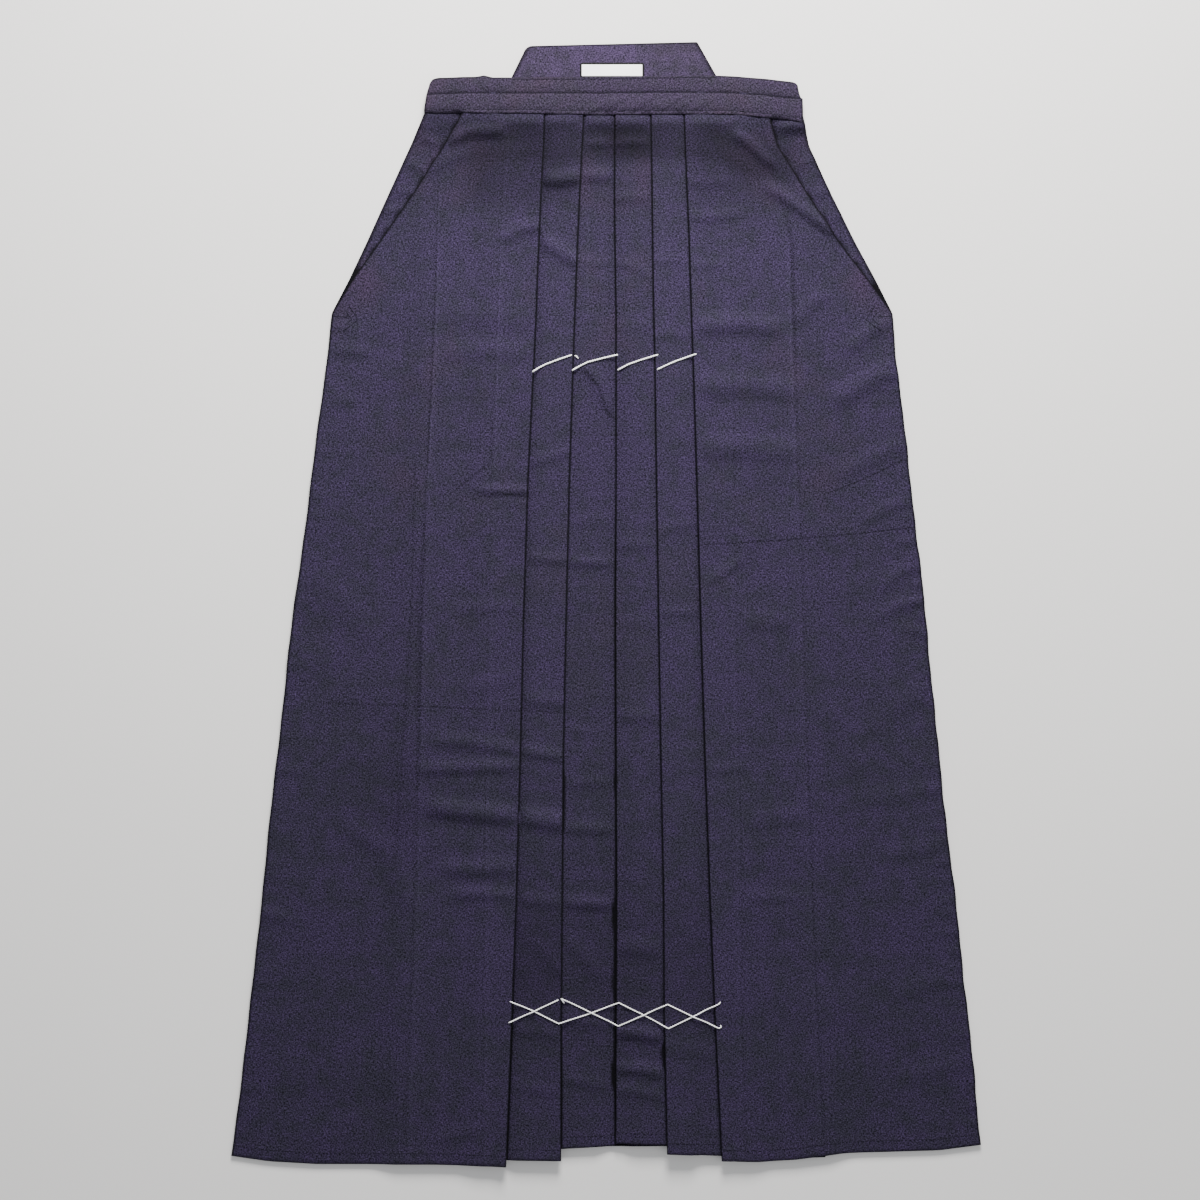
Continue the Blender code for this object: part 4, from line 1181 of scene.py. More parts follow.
def stitch_tree(name):
    """Stitches laid end to end along lines, each a small rounded float of thread."""
    tree = new_tree(name, (
        ("Pitch", "NodeSocketFloat", 0.0035), ("Stitch Length", "NodeSocketFloat", 0.0026),
        ("Thread Width", "NodeSocketFloat", 0.0007), ("Unevenness", "NodeSocketFloat", 0.12),
        ("Seed", "NodeSocketInt", 3), ("Material", "NodeSocketMaterial", None)))
    start = node(tree, "NodeGroupInput")
    lines = node(tree, "GeometryNodeMeshToCurve")
    points = node(tree, "GeometryNodeCurveToPoints", mode="LENGTH")
    float_mesh = node(tree, "GeometryNodeMeshUVSphere", Segments=8, Rings=5, Radius=0.5)
    turn = node(tree, "FunctionNodeAlignRotationToVector", axis="X")
    size = node(tree, "ShaderNodeCombineXYZ")
    vary = node(tree, "FunctionNodeRandomValue", data_type="FLOAT")
    place = node(tree, "GeometryNodeInstanceOnPoints")
    low = node(tree, "ShaderNodeMath", operation="SUBTRACT")
    high = node(tree, "ShaderNodeMath", operation="ADD")
    longer = node(tree, "ShaderNodeMath", operation="MULTIPLY")
    low.inputs[0].default_value = high.inputs[0].default_value = 1.0
    wire(tree,
         (start, "Unevenness", low, 1), (start, "Unevenness", high, 1), (low, 0, vary, 2), (high, 0, vary, 3),
         (start, "Seed", vary, "Seed"), (start, "Stitch Length", longer, 0), (vary, 1, longer, 1),
         (longer, 0, size, "X"), (start, "Thread Width", size, "Y"), (start, "Thread Width", size, "Z"),
         (start, "Geometry", lines, "Mesh"), (lines, 0, points, "Curve"), (start, "Pitch", points, "Length"),
         (points, "Tangent", turn, "Vector"), (points, "Points", place, "Points"),
         (float_mesh, "Mesh", place, "Instance"), (turn, 0, place, "Rotation"), (size, 0, place, "Scale"))
    return finish_tree(tree, start, place)


def thread_tree(name):
    """A round thread along lines."""
    tree = new_tree(name, (
        ("Thread Width", "NodeSocketFloat", 0.001), ("Material", "NodeSocketMaterial", None)))
    start = node(tree, "NodeGroupInput")
    lines = node(tree, "GeometryNodeMeshToCurve")
    ring = node(tree, "GeometryNodeCurvePrimitiveCircle", Resolution=6)
    half = node(tree, "ShaderNodeMath", operation="MULTIPLY")
    half.inputs[1].default_value = 0.5
    sweep = node(tree, "GeometryNodeCurveToMesh", **{"Fill Caps": True})
    wire(tree,
         (start, "Geometry", lines, "Mesh"), (start, "Thread Width", half, 0), (half, 0, ring, "Radius"),
         (lines, 0, sweep, "Curve"), (ring, 0, sweep, "Profile Curve"))
    return finish_tree(tree, start, sweep)


TREES = {"running_stitches": stitch_tree, "laid_thread": thread_tree}


def along_lines(name, kind, lines, **values):
    """A plain mesh made by a kind of tree along lines of points in millimetres."""
    verts, edges = [], []
    for line in lines:
        base = len(verts)
        verts += [(x * MM, y * MM, z * MM) for x, y, z in line]
        edges += [(base + i, base + i + 1) for i in range(len(line) - 1)]
    mesh = bpy.data.meshes.new(name + "_lines")
    mesh.from_pydata(verts, edges, [])
    carrier = add_object(name + "_lines", mesh)
    modifier = carrier.modifiers.new("Threads", "NODES")
    modifier.node_group = bpy.data.node_groups.get(kind) or TREES[kind](kind)
    for socket in modifier.node_group.interface.items_tree:
        if socket.in_out == "INPUT" and socket.name in values:
            modifier[socket.identifier] = values[socket.name]
    bpy.context.view_layer.update()
    made = bpy.data.meshes.new_from_object(carrier.evaluated_get(bpy.context.evaluated_depsgraph_get()))
    if not made.polygons:
        raise RuntimeError(f"{name} came out empty")
    made.name = name
    carrier.modifiers.clear()
    bpy.data.objects.remove(carrier, do_unlink=True)
    return add_object(name, made)


def top_height(x, down):
    """Top of the cloth that shows from above at places below the waistband."""
    x, down = np.asarray(x, float), np.asarray(down, float)
    best = np.zeros(x.shape)
    for level, low_name, _, high_name, _ in FACES.values():
        inside = (x >= edge(low_name, down)) & (x <= edge(high_name, down))
        if inside.any():
            found = layer_height(level, x[inside], down[inside]) + half_thickness()
            best[inside] = np.maximum(best[inside], found)
    return best


# Pieces

def make_panel(name):
    """One pleated panel, from its head to its hem."""
    obj = mesh_from_grid(name + "_cloth", panel_rows(name))
    thicken(obj, cloth().cloth_thickness, cloth().hem_thickness)
    finish_piece(obj, named_material("cotton_of_the_panels"), "hakama_cloth", name)


def board_side(side, down):
    """The x of the board's slanting side edge."""
    base, top = (BOARD_CORNERS[0], BOARD_CORNERS[3]) if side == "right" else BOARD_CORNERS[1:3]
    return base[0] + (top[0] - base[0]) * (down - base[1]) / (top[1] - base[1])


def band_end(side, down):
    """The x of the band's end on a side."""
    row = BAND[0 if side == "right" else -1]
    return float(np.interp(down, row[[4, 5, 6]], row[[2, 1, 0]]))


def band_rest_z(x):
    """Middle of the band's lower edge where it is sewn down on the cloth below it."""
    down = band_value("bottom", x) + 0.3
    cloth_top = np.max([top_height(x + step, down) for step in (-1.6, 0.0, 1.6)], axis=0)
    return cloth_top + cloth().band_thickness / MM / 2 + 0.15


def band_face_z(x, down):
    """Middle of the band's face at places on it: soft strips between its sewn rows, with puckers."""
    bottom, seam, top = (band_value(name, x) for name in ("bottom", "seam", "top"))
    face = flat_height(BAND_LEVEL, x, np.zeros_like(x))
    rows = (bottom - BAND_STITCH_ROW, seam, top + 1.0)
    puff = np.zeros_like(x)
    for low, high in zip(rows, rows[1:]):
        share = np.clip((low - down) / (low - high), 0.0, 1.0)
        puff += BAND_PUFF * np.sin(np.pi * share) ** 0.7 * ((down <= low) & (down >= high))
    for row, (depth, half) in ((seam, SEAM_GROOVE), (bottom - BAND_STITCH_ROW, STITCH_GROOVE)):
        puff -= depth * np.maximum(1.0 - ((down - row) / half) ** 2, 0.0)
    for height, half_width, *points in BAND_CREASES:
        puff += cloth().crease_strength * height * ridge(points, half_width, x, down)
    ends = np.minimum(x - BAND[0, 0], BAND[-1, 0] - x)
    face = face + puff - BAND_END_DROP * np.clip(1.0 - ends / BAND_END_REACH, 0.0, 1.0) ** 2
    lip = smooth(1.0 - (bottom - down) / BAND_LIP)
    return face * (1.0 - lip) + np.minimum(face, band_rest_z(x)) * lip


def waistband_rows():
    """The band's face from its lower edge up, the fold along its top and its back."""
    ends = np.array((0.0, 0.5, 1.1, 2.0, 3.2))
    low, high = BAND[0, 0], BAND[-1, 0]
    x = np.concatenate((low + ends, np.linspace(low + 4.5, high - 4.5, BAND_STEPS), high - ends[::-1]))
    bottom, seam, top = (band_value(name, x) for name in ("bottom", "seam", "top"))
    lower_x, middle_x, upper_x, back_x = (band_value(name, x) for name in BAND_COLUMNS[:4])
    centre = top + BAND_FOLD
    # a painted dark outline at the band's two ends
    end_rim_shade = np.clip(1.2 - np.minimum(x - low, high - x) / 1.3, 0.0, 0.9)
    beside_board = (x < -86.0) | (x > 101.0)
    found = []

    def add(place_x, down, z, shade=0.0):
        found.append(dict(x=place_x, down=down, z=z, u=x, shade=np.maximum(shade, end_rim_shade)))

    # the shade on these rows is painted: lines at the lower edge, the sewn rows and the seam, along the top
    # over the board, and a dark outline on the top fold where it is not over the board
    add(lower_x, bottom + 0.1, band_face_z(x, bottom) - 0.35, 0.5)
    for share in (0.0, 0.03, 0.08, 0.13, 0.16, 0.19, 0.28, 0.4, 0.52, 0.64, 0.76, 0.86, 0.93, 0.97, 1.0):
        down = bottom + (seam - bottom) * share
        add(lower_x + (middle_x - lower_x) * share, down, band_face_z(x, down),
            {0.0: 0.4, 0.03: 0.2, 0.16: 0.5, 0.97: 0.45, 1.0: 0.95}.get(share, 0.0))
    for share in (0.04, 0.1, 0.2, 0.33, 0.48, 0.64, 0.8, 0.92, 1.0):
        down = seam + (centre - seam) * share
        step_in = np.where(x > 0.0, share ** 0.4, share)
        add(middle_x + (upper_x - middle_x) * step_in, down, band_face_z(x, down),
            {0.04: 0.45, 1.0: np.where(beside_board, 0.0, 0.55)}.get(share, 0.0))
    head = band_face_z(x, centre)
    middle, half = (head + BAND_BACK) / 2, (head - BAND_BACK) / 2
    for step in range(1, 7):
        angle = math.pi * (0.5 - step / 7)
        add(upper_x + (back_x - upper_x) * step / 7, centre - BAND_FOLD * math.cos(angle),
            middle + half * math.sin(angle), np.where(beside_board, 0.5 if step == 1 else 0.9, 0.35))
    for share in (0.0, 0.25, 0.5, 0.75, 1.0):
        down = centre + (BAND_BACK_FOOT + np.minimum(bottom, 0.0) - centre) * share
        add(back_x, down, np.full_like(x, BAND_BACK))
    rows = stacked(found)
    steps = np.hypot(np.diff(rows["down"], axis=0), np.diff(rows["z"], axis=0))
    rows["v"] = np.vstack((np.zeros((1, len(x))), np.cumsum(steps, axis=0)))
    return rows


def tie_rows(start, end, fold_x, start_z, end_z):
    """A tie from one end out to its fold and back, in rows down its width."""
    outward = 1.0 if fold_x(TIE_FOOT) > 0 else -1.0
    reach = abs(end_z - start_z) / 2
    middle, rising = (start_z + end_z) / 2, np.sign(end_z - start_z)
    angles = np.pi * (0.5 - np.arange(1, 8) / 8.0)
    rows = []
    for down in np.linspace(TIE_HEAD, TIE_FOOT, TIE_ROWS):
        turn = fold_x(down) - outward * (reach + 0.3)
        out, back = np.linspace(start(down), turn, TIE_STEPS), np.linspace(turn, end(down), TIE_STEPS)
        arc_x, arc_z = turn + outward * reach * np.cos(angles), middle - rising * reach * np.sin(angles)
        x = np.concatenate((out, arc_x, back))
        z = np.concatenate((np.full(TIE_STEPS, start_z), arc_z, np.full(TIE_STEPS, end_z)))
        place = np.full_like(x, down)
        rows.append(dict(x=x, down=place, z=z, u=place, v=lengths_along(x, z)))
    return stacked(rows)


def make_ties(side, outward):
    """The front and back tie of a side, each from the board out to its fold and back behind the band."""
    def beside_board(down):
        return board_side(side, down) + outward * 0.4

    def inside_band(down):
        return outward * min(abs(TIE_FOLDS[side]), abs(band_end(side, down)) - 1.2)

    for kind, end, fold_x, low, high in (
            ("front", lambda down: TIE_ENDS[side], inside_band, TIE_FLOOR, TIE_UPPER),
            ("back", beside_board, lambda down: BACK_TIE_FOLDS[side], *BACK_TIE_LAYERS)):
        obj = mesh_from_grid(f"{kind}_tie_{side}_cloth", tie_rows(beside_board, end, fold_x, low, high))
        thicken(obj, cloth().band_thickness)
        finish_piece(obj, named_material("cotton_of_the_waistband"), "waistband_cloth", f"{kind}_tie_{side}")


def rounded_outline(corners, inset, steps=8):
    """Points round a convex outline of (x, down, radius) corners, moved in by an inset."""
    outline = []
    for i, (x, down, radius) in enumerate(corners):
        here = np.array((x, down))
        sides = [np.array(other[:2]) - here for other in (corners[i - 1], corners[(i + 1) % len(corners)])]
        sides = [side / np.linalg.norm(side) for side in sides]
        inward = (sides[0] + sides[1]) / np.linalg.norm(sides[0] + sides[1])
        sine = abs(inward[0] * sides[0][1] - inward[1] * sides[0][0])
        centre = here + inward * radius / sine
        touch = [here + side * (centre - here).dot(side) - centre for side in sides]
        for step in range(steps + 1):
            spoke = touch[0] + (touch[1] - touch[0]) * step / steps
            outline.append(centre + spoke / np.linalg.norm(spoke) * (radius - inset))
    return np.array(outline)


def make_board():
    """The stiff back board in its cloth cover, with soft rims and a slight crown."""
    middle = rounded_outline(BOARD_CORNERS, 0.0).mean(axis=0)
    rings = []
    for inset, z in BOARD_PROFILE:
        ring = rounded_outline(BOARD_CORNERS, min(inset, BOARD_RIM))
        if inset > BOARD_RIM:
            ring = middle + (ring - middle) * (1.0 - (inset - BOARD_RIM) / BOARD_HALF)
        rings.append(np.column_stack((ring[:, 0], WAIST_Y - ring[:, 1], np.full(len(ring), z))))
    count, width = len(rings), len(rings[0])
    index = np.arange(count * width).reshape(count, width)
    beside = np.roll(index, -1, axis=1)
    faces = np.stack((index[:-1], beside[:-1], beside[1:], index[1:]), axis=-1).reshape(-1, 4).tolist()
    faces += [index[0, ::-1].tolist(), index[-1].tolist()]
    mesh = bpy.data.meshes.new("back_board_cover")
    mesh.from_pydata((np.vstack(rings) * MM).tolist(), [], faces)
    mesh.calc_loop_triangles()
    volume = sum(np.dot(mesh.vertices[a].co, np.cross(mesh.vertices[b].co, mesh.vertices[c].co))
                 for a, b, c in (t.vertices for t in mesh.loop_triangles))
    if volume < 0:
        mesh.flip_normals()
    weave = mesh.uv_layers.new(name="weave")
    for loop in mesh.loops:
        place = mesh.vertices[loop.vertex_index].co
        weave.data[loop.index].uv = (place.x, place.y + place.z)
    shades = [0.9 if inset < 0.5 else 0.75 if inset < 1.2 else 0.0 for inset, _ in BOARD_PROFILE]
    shade_smooth(mesh, {"shade": np.repeat(shades, width)})
    finish_piece(add_object("back_board_cover", mesh), named_material("cotton_of_the_board"), "board_cloth",
                 "back_board")


def make_label():
    """The blank label: a narrow strip of white satin, its rims a little soft."""
    (low, foot, radius), (high, _, _), (_, top, _) = LABEL_CORNERS[:3]
    downs = np.concatenate((top + np.array((0.0, 0.5, 1.5, 2.0)), np.linspace(top + 3.5, foot - 3.5, 5),
                            foot - np.array((2.0, 1.5, 0.5, 0.0))))
    ends = np.array((0.0, 0.5, 1.5))
    rows = []
    for down in downs:
        near = min(down - top, foot - down)
        trim = radius - math.sqrt(max(radius ** 2 - max(radius - near, 0.0) ** 2, 0.0))
        x = np.concatenate((low + trim + ends, np.linspace(low + trim + 2.0, high - trim - 2.0, 34),
                            high - trim - ends[::-1]))
        rim = np.minimum(np.minimum(x - low, high - x), near)
        waves = 0.12 * np.sin(x / 9.0 + down / 6.0) * smooth(rim / 3.0)
        z = LABEL_HEIGHT + waves - 0.12 * (1.0 - smooth(rim / 1.2))
        inside = np.minimum(np.minimum(x - x[0], x[-1] - x), near)
        place = np.full_like(x, down)
        rows.append(dict(x=x, down=place, z=z, u=x, v=place, shade=np.clip((2.0 - inside) / 0.5, 0.0, 1.0)))
    obj = mesh_from_grid("label_strip", stacked(rows))
    thicken(obj, LABEL_THICKNESS)
    finish_piece(obj, named_material("satin_of_the_label"), "label_cloth", "blank_label")


def make_gusset():
    """The gusset between the legs, beside the right back panel."""
    middle = GUSSET_SIDE + GUSSET_WIDTH / 2
    rows = []
    for down in np.linspace(GUSSET_TOP + 0.5, GUSSET_BOTTOM - 0.5, 40):
        point = max(0.0, GUSSET_TOP + GUSSET_POINT - down, down - GUSSET_BOTTOM + GUSSET_POINT) / GUSSET_POINT
        x = np.linspace(GUSSET_SIDE + (middle - GUSSET_SIDE) * point,
                        2 * middle - GUSSET_SIDE - (middle - GUSSET_SIDE) * point, 12)
        place = np.full_like(x, down)
        rows.append(dict(x=x, down=place, z=layer_height(2, x, place), u=x, v=place,
                         shade=np.zeros_like(x), layers=np.ones_like(x)))
    obj = mesh_from_grid("gusset_cloth", stacked(rows))
    thicken(obj, cloth().cloth_thickness)
    finish_piece(obj, named_material("cotton_of_the_panels"), "hakama_cloth", "crotch_gusset")


def line_of(x, down, z):
    """A line of (x, y, z) points."""
    return list(zip(x, WAIST_Y - down, z))


def evenly_along(points, spacing, past):
    """x and down at even steps along (x, down) points, how far along each step is, and the whole length."""
    xs, downs = (np.array(values, float) for values in zip(*points))
    lengths = lengths_along(xs, downs)
    along = np.arange(0.0, lengths[-1] + past, spacing)
    return np.interp(along, lengths, xs), np.interp(along, lengths, downs), along, lengths[-1]


def band_line(down_at, first, last, sink):
    """A line along the band's face, as (x, y, z) points."""
    x = np.arange(first, last, 1.5)
    down, bottom, seam = down_at(x), band_value("bottom", x), band_value("seam", x)
    share = np.clip((bottom - down) / (bottom - seam), 0.0, 1.0)
    place = x + (band_value("middle_x", x) - x) * share
    return line_of(place, down, band_face_z(x, down) + cloth().band_thickness / MM / 2 + sink)


def make_stitches():
    """Rows of stitches along the band and the hems, and the tacks at the feet of the slits."""
    threads = thread()
    material = named_material("sewing_thread")

    def stitch(name, lines, slot_name, pitch=threads.stitch_pitch, length=threads.stitch_length,
               width=threads.sewing_width, finish=material):
        obj = along_lines(name, "running_stitches", lines, **{
            "Pitch": pitch, "Stitch Length": length, "Thread Width": width, "Seed": 5, "Material": finish})
        finish_piece(obj, finish, slot_name)

    stitch("waistband_stitches", [
        band_line(lambda x: band_value("seam", x), -161.5, 175.0, 0.12),
        band_line(lambda x: band_value("bottom", x) - BAND_STITCH_ROW, -162.0, 176.0, 0.0),
        band_line(lambda x: band_value("top", x) + 1.7, -83.0, 99.0, 0.0),
    ], "waistband_cloth")

    hem_top = (cloth().hem_thickness - cloth().cloth_thickness) / MM / 2
    for name, faces in (("hem_stitches_right", ("outer_right", "strip_1", "strip_2")),
                        ("hem_stitches_left", ("outer_left", "strip_4", "strip_3"))):
        lines = []
        for face in faces:
            low, high = (float(edge(FACES[face][i], 935.0)) for i in (1, 3))
            x = np.arange(low + 2.5, high - 2.0, 2.0)
            down = hem_down(face, x) - HEM_STITCH_ROW
            lines.append(line_of(x, down, top_height(x, down) + hem_top))
        stitch(name, lines, "hakama_cloth")
    lines = []
    for low, high in ((-336.0, -14.0), (31.0, 336.0)):
        x = np.arange(low, high, 2.0)
        down = hem_down("back", x) - HEM_STITCH_ROW
        lines.append(line_of(x, down, layer_height(0, x, down) - cloth().hem_thickness / MM / 2 + 0.2))
    stitch("hem_stitches_back", lines, "hakama_cloth")

    lines = []
    for side, edge_name in ((-1, "back_right"), (1, "back_left")):
        corner = float(edge(edge_name, SLIT_FOOT + 2.0))
        for points in TACK_LINES:
            inward, below, *_ = evenly_along(points, 0.8, 0.0)
            x, down = corner - side * inward, SLIT_FOOT + below
            lines.append(line_of(x, down, top_height(x, down) + 0.12))
    stitch("slit_tacks", lines, "hakama_cloth", 0.0016, 0.0021, 0.0008)

    downs = np.arange(-43.6, -35.6, 1.0)
    lines = [line_of(np.full_like(downs, x), downs, np.full_like(downs, LABEL_HEIGHT + 0.3))
             for x in (LABEL_CORNERS[0][0] + 3.2, LABEL_CORNERS[1][0] - 3.2)]
    stitch("label_stitches", lines, "label_cloth", 0.0024, 0.0017, 0.0004, named_material("basting_thread"))


def thread_path(points, crossings, share):
    """The middle of a basting thread along (x, down) points, resting on the cloth and pinned at its ends."""
    x, down, along, length = evenly_along(points, 0.7, 0.35)
    surface = top_height(x, down)
    window = 6

    def over_window(values, measure):
        padded = np.pad(values, window, mode="edge")
        return np.array([measure(padded[i:i + 2 * window + 1]) for i in range(len(values))])

    resting = over_window(over_window(surface, np.max), np.mean)
    z = np.maximum(resting, surface) + 0.74 * share
    for at_x, at_down in crossings:
        z += 1.7 * np.exp(-((x - at_x) ** 2 + (down - at_down) ** 2) / 18.0)
    for distance in (along, length - along):
        z -= 1.5 * np.clip(1.0 - distance / 1.5, 0.0, 1.0)
    return np.column_stack((x, WAIST_Y - down, z)), along


def make_basting(name, rows, share):
    """White threads that hold the pleats, of two twisted plies each, at a share of the full width."""
    lines = []
    for points, crosses in rows:
        path, along = thread_path(points, BASTING_CROSSINGS if crosses else (), share)
        heading = np.gradient(path, axis=0)
        heading /= np.linalg.norm(heading, axis=1)[:, None]
        side = np.cross(heading, (0.0, 0.0, 1.0))
        side /= np.linalg.norm(side, axis=1)[:, None]
        up = np.cross(side, heading)
        for ply in (0.0, math.pi):
            turn = (2 * math.pi * along / PLY_TURN + ply)[:, None]
            lines.append((path + PLY_REACH * share * (np.cos(turn) * side + np.sin(turn) * up)).tolist())
    material = named_material("basting_thread")
    obj = along_lines(name, "laid_thread", lines, **{
        "Thread Width": thread().basting_width / 2 * share, "Material": material})
    finish_piece(obj, material, "hakama_cloth")


def add_light(name, place, target, size, power, colour):
    """A soft square light turned towards a point."""
    data = bpy.data.lights.new(name, "AREA")
    data.shape, data.size, data.energy, data.color = "SQUARE", size, power, colour
    obj = add_object(name, data)
    obj.location = place
    obj.rotation_mode = "QUATERNION"
    obj.rotation_quaternion = (Vector(target) - Vector(place)).to_track_quat("-Z", "Y")


def make_stage():
    """The pale floor, the soft lights and the camera straight above."""
    settings = bpy.context.scene.hakama_stage
    half = settings.floor_size / 2
    corners = [(x, y, FLOOR_HEIGHT) for x, y in ((-half, -half), (half, -half), (half, half), (-half, half))]
    mesh = bpy.data.meshes.new("floor")
    mesh.from_pydata(corners, [], [(0, 1, 2, 3)])
    matt = uneven_material("pale_floor", settings.floor_colour, {"Roughness": 0.9}, 3.0, 4.0, 0.96)
    mesh.materials.append(matt)
    add_object("floor", mesh)

    add_light("key_light", (0.10, 1.42, 0.96), (0.0, 0.33, 0.0), 0.7, settings.key_power, (1.0, 0.985, 0.97))
    add_light("fill_light", (1.6, -0.9, 2.2), (0.0, 0.0, 0.0), 2.2, settings.fill_power, (0.97, 0.98, 1.0))
    world = bpy.data.worlds.new("studio")
    world.use_nodes = True
    back = world.node_tree.nodes["Background"]
    back.inputs["Color"].default_value = (0.95, 0.97, 1.0, 1.0)
    back.inputs["Strength"].default_value = settings.sky_strength
    bpy.context.scene.world = world

    data = bpy.data.cameras.new("camera_above")
    data.sensor_width, data.lens, data.clip_end = SENSOR_WIDTH, settings.lens, 50.0
    camera = add_object("camera_above", data)
    x, y, foot = CAMERA_PLACE
    camera.location = (x, y, foot + settings.view_width * settings.lens / SENSOR_WIDTH)
    bpy.context.scene.camera = camera


# Settings

def colour_property(label, description, default):
    """A colour setting."""
    return bpy.props.FloatVectorProperty(name=label, description=description, default=default,
                                         subtype="COLOR", size=3, min=0.0, max=1.0)


def length_property(label, description, default, low=0.0001, high=10.0):
    """A length setting in metres."""
    return bpy.props.FloatProperty(name=label, description=description, default=default,
                                   unit="LENGTH", min=low, max=high, precision=5)


def number_property(label, description, default, low, high):
    """A plain number."""
    return bpy.props.FloatProperty(name=label, description=description, default=default, min=low, max=high)


class HakamaCloth(bpy.types.PropertyGroup):
    """Thicknesses, strengths and colours of the cloth"""
    cloth_thickness: length_property(
        "Cloth Thickness", "Thickness of one layer of cloth", 0.0006, high=0.0009)
    hem_thickness: length_property(
        "Hem Thickness", "Thickness where a hem is turned up", 0.0011, high=0.0012)
    band_thickness: length_property(
        "Band Thickness", "Thickness of the waistband's cloth", 0.0009, high=0.001)
    weave_pitch: length_property("Weave Pitch", "Distance between two crossings of the weave", 0.0008)
    crease_strength: number_property("Crease Strength", "Share of the height of the creases", 1.6, 0.0, 2.0)
    drape_strength: number_property(
        "Drape Strength", "Share of the slow rise and fall of the cloth", 1.0, 0.0, 1.5)
    cloth_colour: colour_property("Cloth Colour", "Main dye of the panels", (0.0220, 0.0155, 0.0368))
    cloth_second_colour: colour_property(
        "Cloth Second Colour", "Greyer dye mottled into the panels", (0.0156, 0.0138, 0.0241))
    band_colour: colour_property("Band Colour", "Main dye of the waistband", (0.0225, 0.0156, 0.0320))
    band_second_colour: colour_property(
        "Band Second Colour", "Greyer dye mottled into the waistband", (0.0180, 0.0150, 0.0245))
    board_colour: colour_property("Board Colour", "Main dye of the board's cover", (0.0345, 0.0228, 0.0520))
    label_colour: colour_property("Label Colour", "Colour of the blank label", (0.96, 0.96, 0.95))


class HakamaThread(bpy.types.PropertyGroup):
    """Sizes and colours of the sewing and basting threads"""
    stitch_pitch: length_property("Stitch Pitch", "Distance from one stitch to the next", 0.0036)
    stitch_length: length_property("Stitch Length", "Length of a stitch", 0.0027)
    sewing_width: length_property("Sewing Thread Width", "Width of the sewing thread", 0.0008)
    basting_width: length_property("Basting Thread Width", "Width of the white basting thread", 0.0019)
    sewing_colour: colour_property(
        "Sewing Thread Colour", "Colour of the sewing thread", (0.010, 0.008, 0.017))
    basting_colour: colour_property(
        "Basting Thread Colour", "Colour of the basting thread", (1.0, 1.0, 0.98))


class HakamaStage(bpy.types.PropertyGroup):
    """The floor, the lights and the camera"""
    floor_size: length_property("Floor Size", "Side of the square floor", 30.0, 1.0, 50.0)
    floor_colour: colour_property("Floor Colour", "Colour of the pale floor", (0.69, 0.68, 0.67))
    view_width: length_property("View Width", "Width of the camera's view on the cloth", 1.086, 0.1, 10.0)
    lens: number_property("Lens", "Focal length of the camera in millimetres", 85.0, 20.0, 200.0)
    key_power: number_property("Key Light Power", "Power of the key light in watts", 94.0, 0.0, 2000.0)
    fill_power: number_property("Fill Light Power", "Power of the fill light in watts", 14.5, 0.0, 2000.0)
    sky_strength: number_property("Sky Strength", "Strength of the even light around", 0.60, 0.0, 5.0)


def cloth():
    """The cloth's settings."""
    return bpy.context.scene.hakama_cloth


def thread():
    """The threads' settings."""
    return bpy.context.scene.hakama_thread


# Operators

class HAKAMA_OT_back_panels(bpy.types.Operator):
    """Makes the two back panels, which lie on the floor and show in the side slits"""
    bl_idname = "hakama.back_panels"
    bl_label = "Back Panels"

    def execute(self, context):
        make_panel("back_panel_right")
        make_panel("back_panel_left")
        return {"FINISHED"}


class HAKAMA_OT_front_panels(bpy.types.Operator):
    """Makes the two pleated front panels with their creases"""
    bl_idname = "hakama.front_panels"
    bl_label = "Front Panels"

    def execute(self, context):
        make_panel("front_panel_right")
        make_panel("front_panel_left")
        return {"FINISHED"}


class HAKAMA_OT_gusset(bpy.types.Operator):
    """Makes the gusset between the legs"""
    bl_idname = "hakama.gusset"
    bl_label = "Gusset"

    def execute(self, context):
        make_gusset()
        return {"FINISHED"}


class HAKAMA_OT_waistband(bpy.types.Operator):
    """Makes the front waistband over the pleat heads"""
    bl_idname = "hakama.waistband"
    bl_label = "Waistband"

    def execute(self, context):
        obj = mesh_from_grid("waistband_cloth_strip", waistband_rows())
        thicken(obj, cloth().band_thickness)
        finish_piece(obj, named_material("cotton_of_the_waistband"), "waistband_cloth", "front_waistband")
        return {"FINISHED"}


class HAKAMA_OT_ties(bpy.types.Operator):
    """Makes the front and back ties, folded away under the band"""
    bl_idname = "hakama.ties"
    bl_label = "Ties"

    def execute(self, context):
        make_ties("right", -1)
        make_ties("left", 1)
        return {"FINISHED"}


class HAKAMA_OT_back_board(bpy.types.Operator):
    """Makes the stiff back board in its cover"""
    bl_idname = "hakama.back_board"
    bl_label = "Back Board"

    def execute(self, context):
        make_board()
        return {"FINISHED"}


class HAKAMA_OT_label(bpy.types.Operator):
    """Makes the blank label on the board"""
    bl_idname = "hakama.label"
    bl_label = "Blank Label"

    def execute(self, context):
        make_label()
        return {"FINISHED"}


class HAKAMA_OT_stitches(bpy.types.Operator):
    """Makes the rows of stitches and the tacks at the slits"""
    bl_idname = "hakama.stitches"
    bl_label = "Stitches"

    def execute(self, context):
        make_stitches()
        return {"FINISHED"}


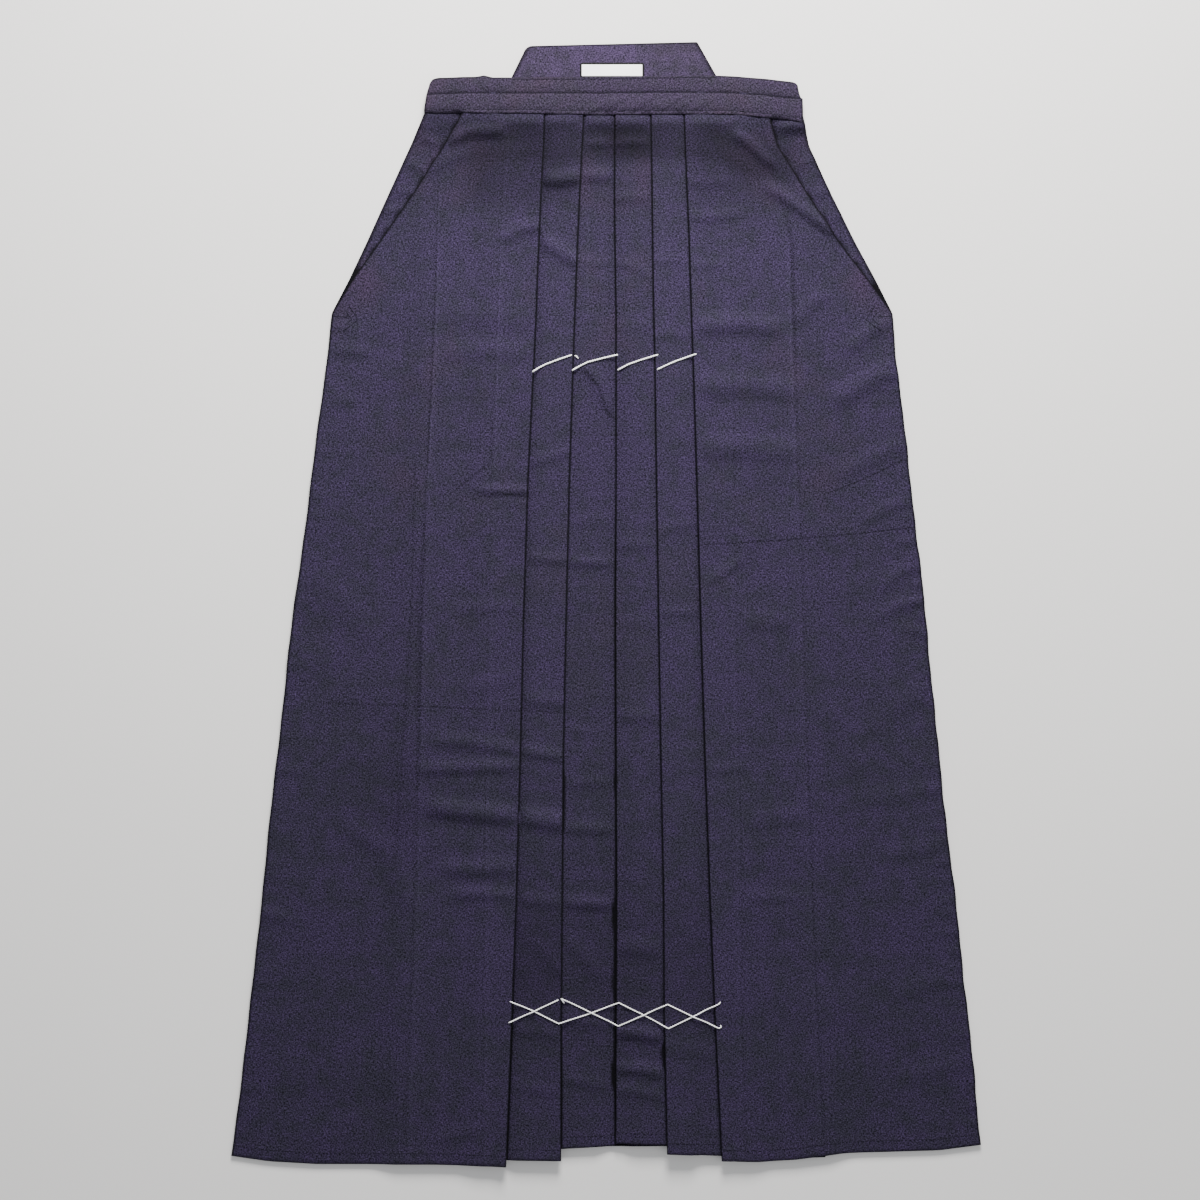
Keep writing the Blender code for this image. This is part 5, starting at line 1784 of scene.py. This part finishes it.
class HAKAMA_OT_basting(bpy.types.Operator):
    """Makes the white basting threads across the pleats"""
    bl_idname = "hakama.basting"
    bl_label = "Basting Threads"

    def execute(self, context):
        make_basting("upper_basting_threads", UPPER_BASTING, 1.0)
        make_basting("lower_basting_threads", LOWER_BASTING, LOWER_THREAD_SHARE)
        return {"FINISHED"}


class HAKAMA_OT_stage(bpy.types.Operator):
    """Makes the floor, the lights and the camera"""
    bl_idname = "hakama.stage"
    bl_label = "Stage"

    def execute(self, context):
        make_stage()
        return {"FINISHED"}


class HAKAMA_PT_sidebar(bpy.types.Panel):
    """The pieces and their settings"""
    bl_idname = "HAKAMA_PT_sidebar"
    bl_label = "Hakama Trousers"
    bl_space_type = "VIEW_3D"
    bl_region_type = "UI"
    bl_category = "Hakama"

    def draw(self, context):
        layout = self.layout
        for settings in (context.scene.hakama_cloth, context.scene.hakama_thread, context.scene.hakama_stage):
            column = layout.column()
            for name in settings.__annotations__:
                column.prop(settings, name)
        for operator in OPERATORS:
            layout.operator(operator.bl_idname)


SETTINGS = (HakamaCloth, HakamaThread, HakamaStage)
OPERATORS = (HAKAMA_OT_stage, HAKAMA_OT_back_board, HAKAMA_OT_back_panels, HAKAMA_OT_gusset,
             HAKAMA_OT_front_panels, HAKAMA_OT_waistband, HAKAMA_OT_ties, HAKAMA_OT_label,
             HAKAMA_OT_stitches, HAKAMA_OT_basting)


def register():
    """Registers the settings, operators and panel."""
    for kind in (*SETTINGS, *OPERATORS, HAKAMA_PT_sidebar):
        bpy.utils.register_class(kind)
    bpy.types.Scene.hakama_cloth = bpy.props.PointerProperty(type=HakamaCloth)
    bpy.types.Scene.hakama_thread = bpy.props.PointerProperty(type=HakamaThread)
    bpy.types.Scene.hakama_stage = bpy.props.PointerProperty(type=HakamaStage)


def unregister():
    """Takes the settings, operators and panel away again."""
    del bpy.types.Scene.hakama_stage
    del bpy.types.Scene.hakama_thread
    del bpy.types.Scene.hakama_cloth
    for kind in reversed((*SETTINGS, *OPERATORS, HAKAMA_PT_sidebar)):
        bpy.utils.unregister_class(kind)


def main():
    """Makes every piece and the stage."""
    register()
    for operator in OPERATORS:
        group, name = operator.bl_idname.split(".")
        getattr(getattr(bpy.ops, group), name)()


if __name__ == "__main__":
    main()
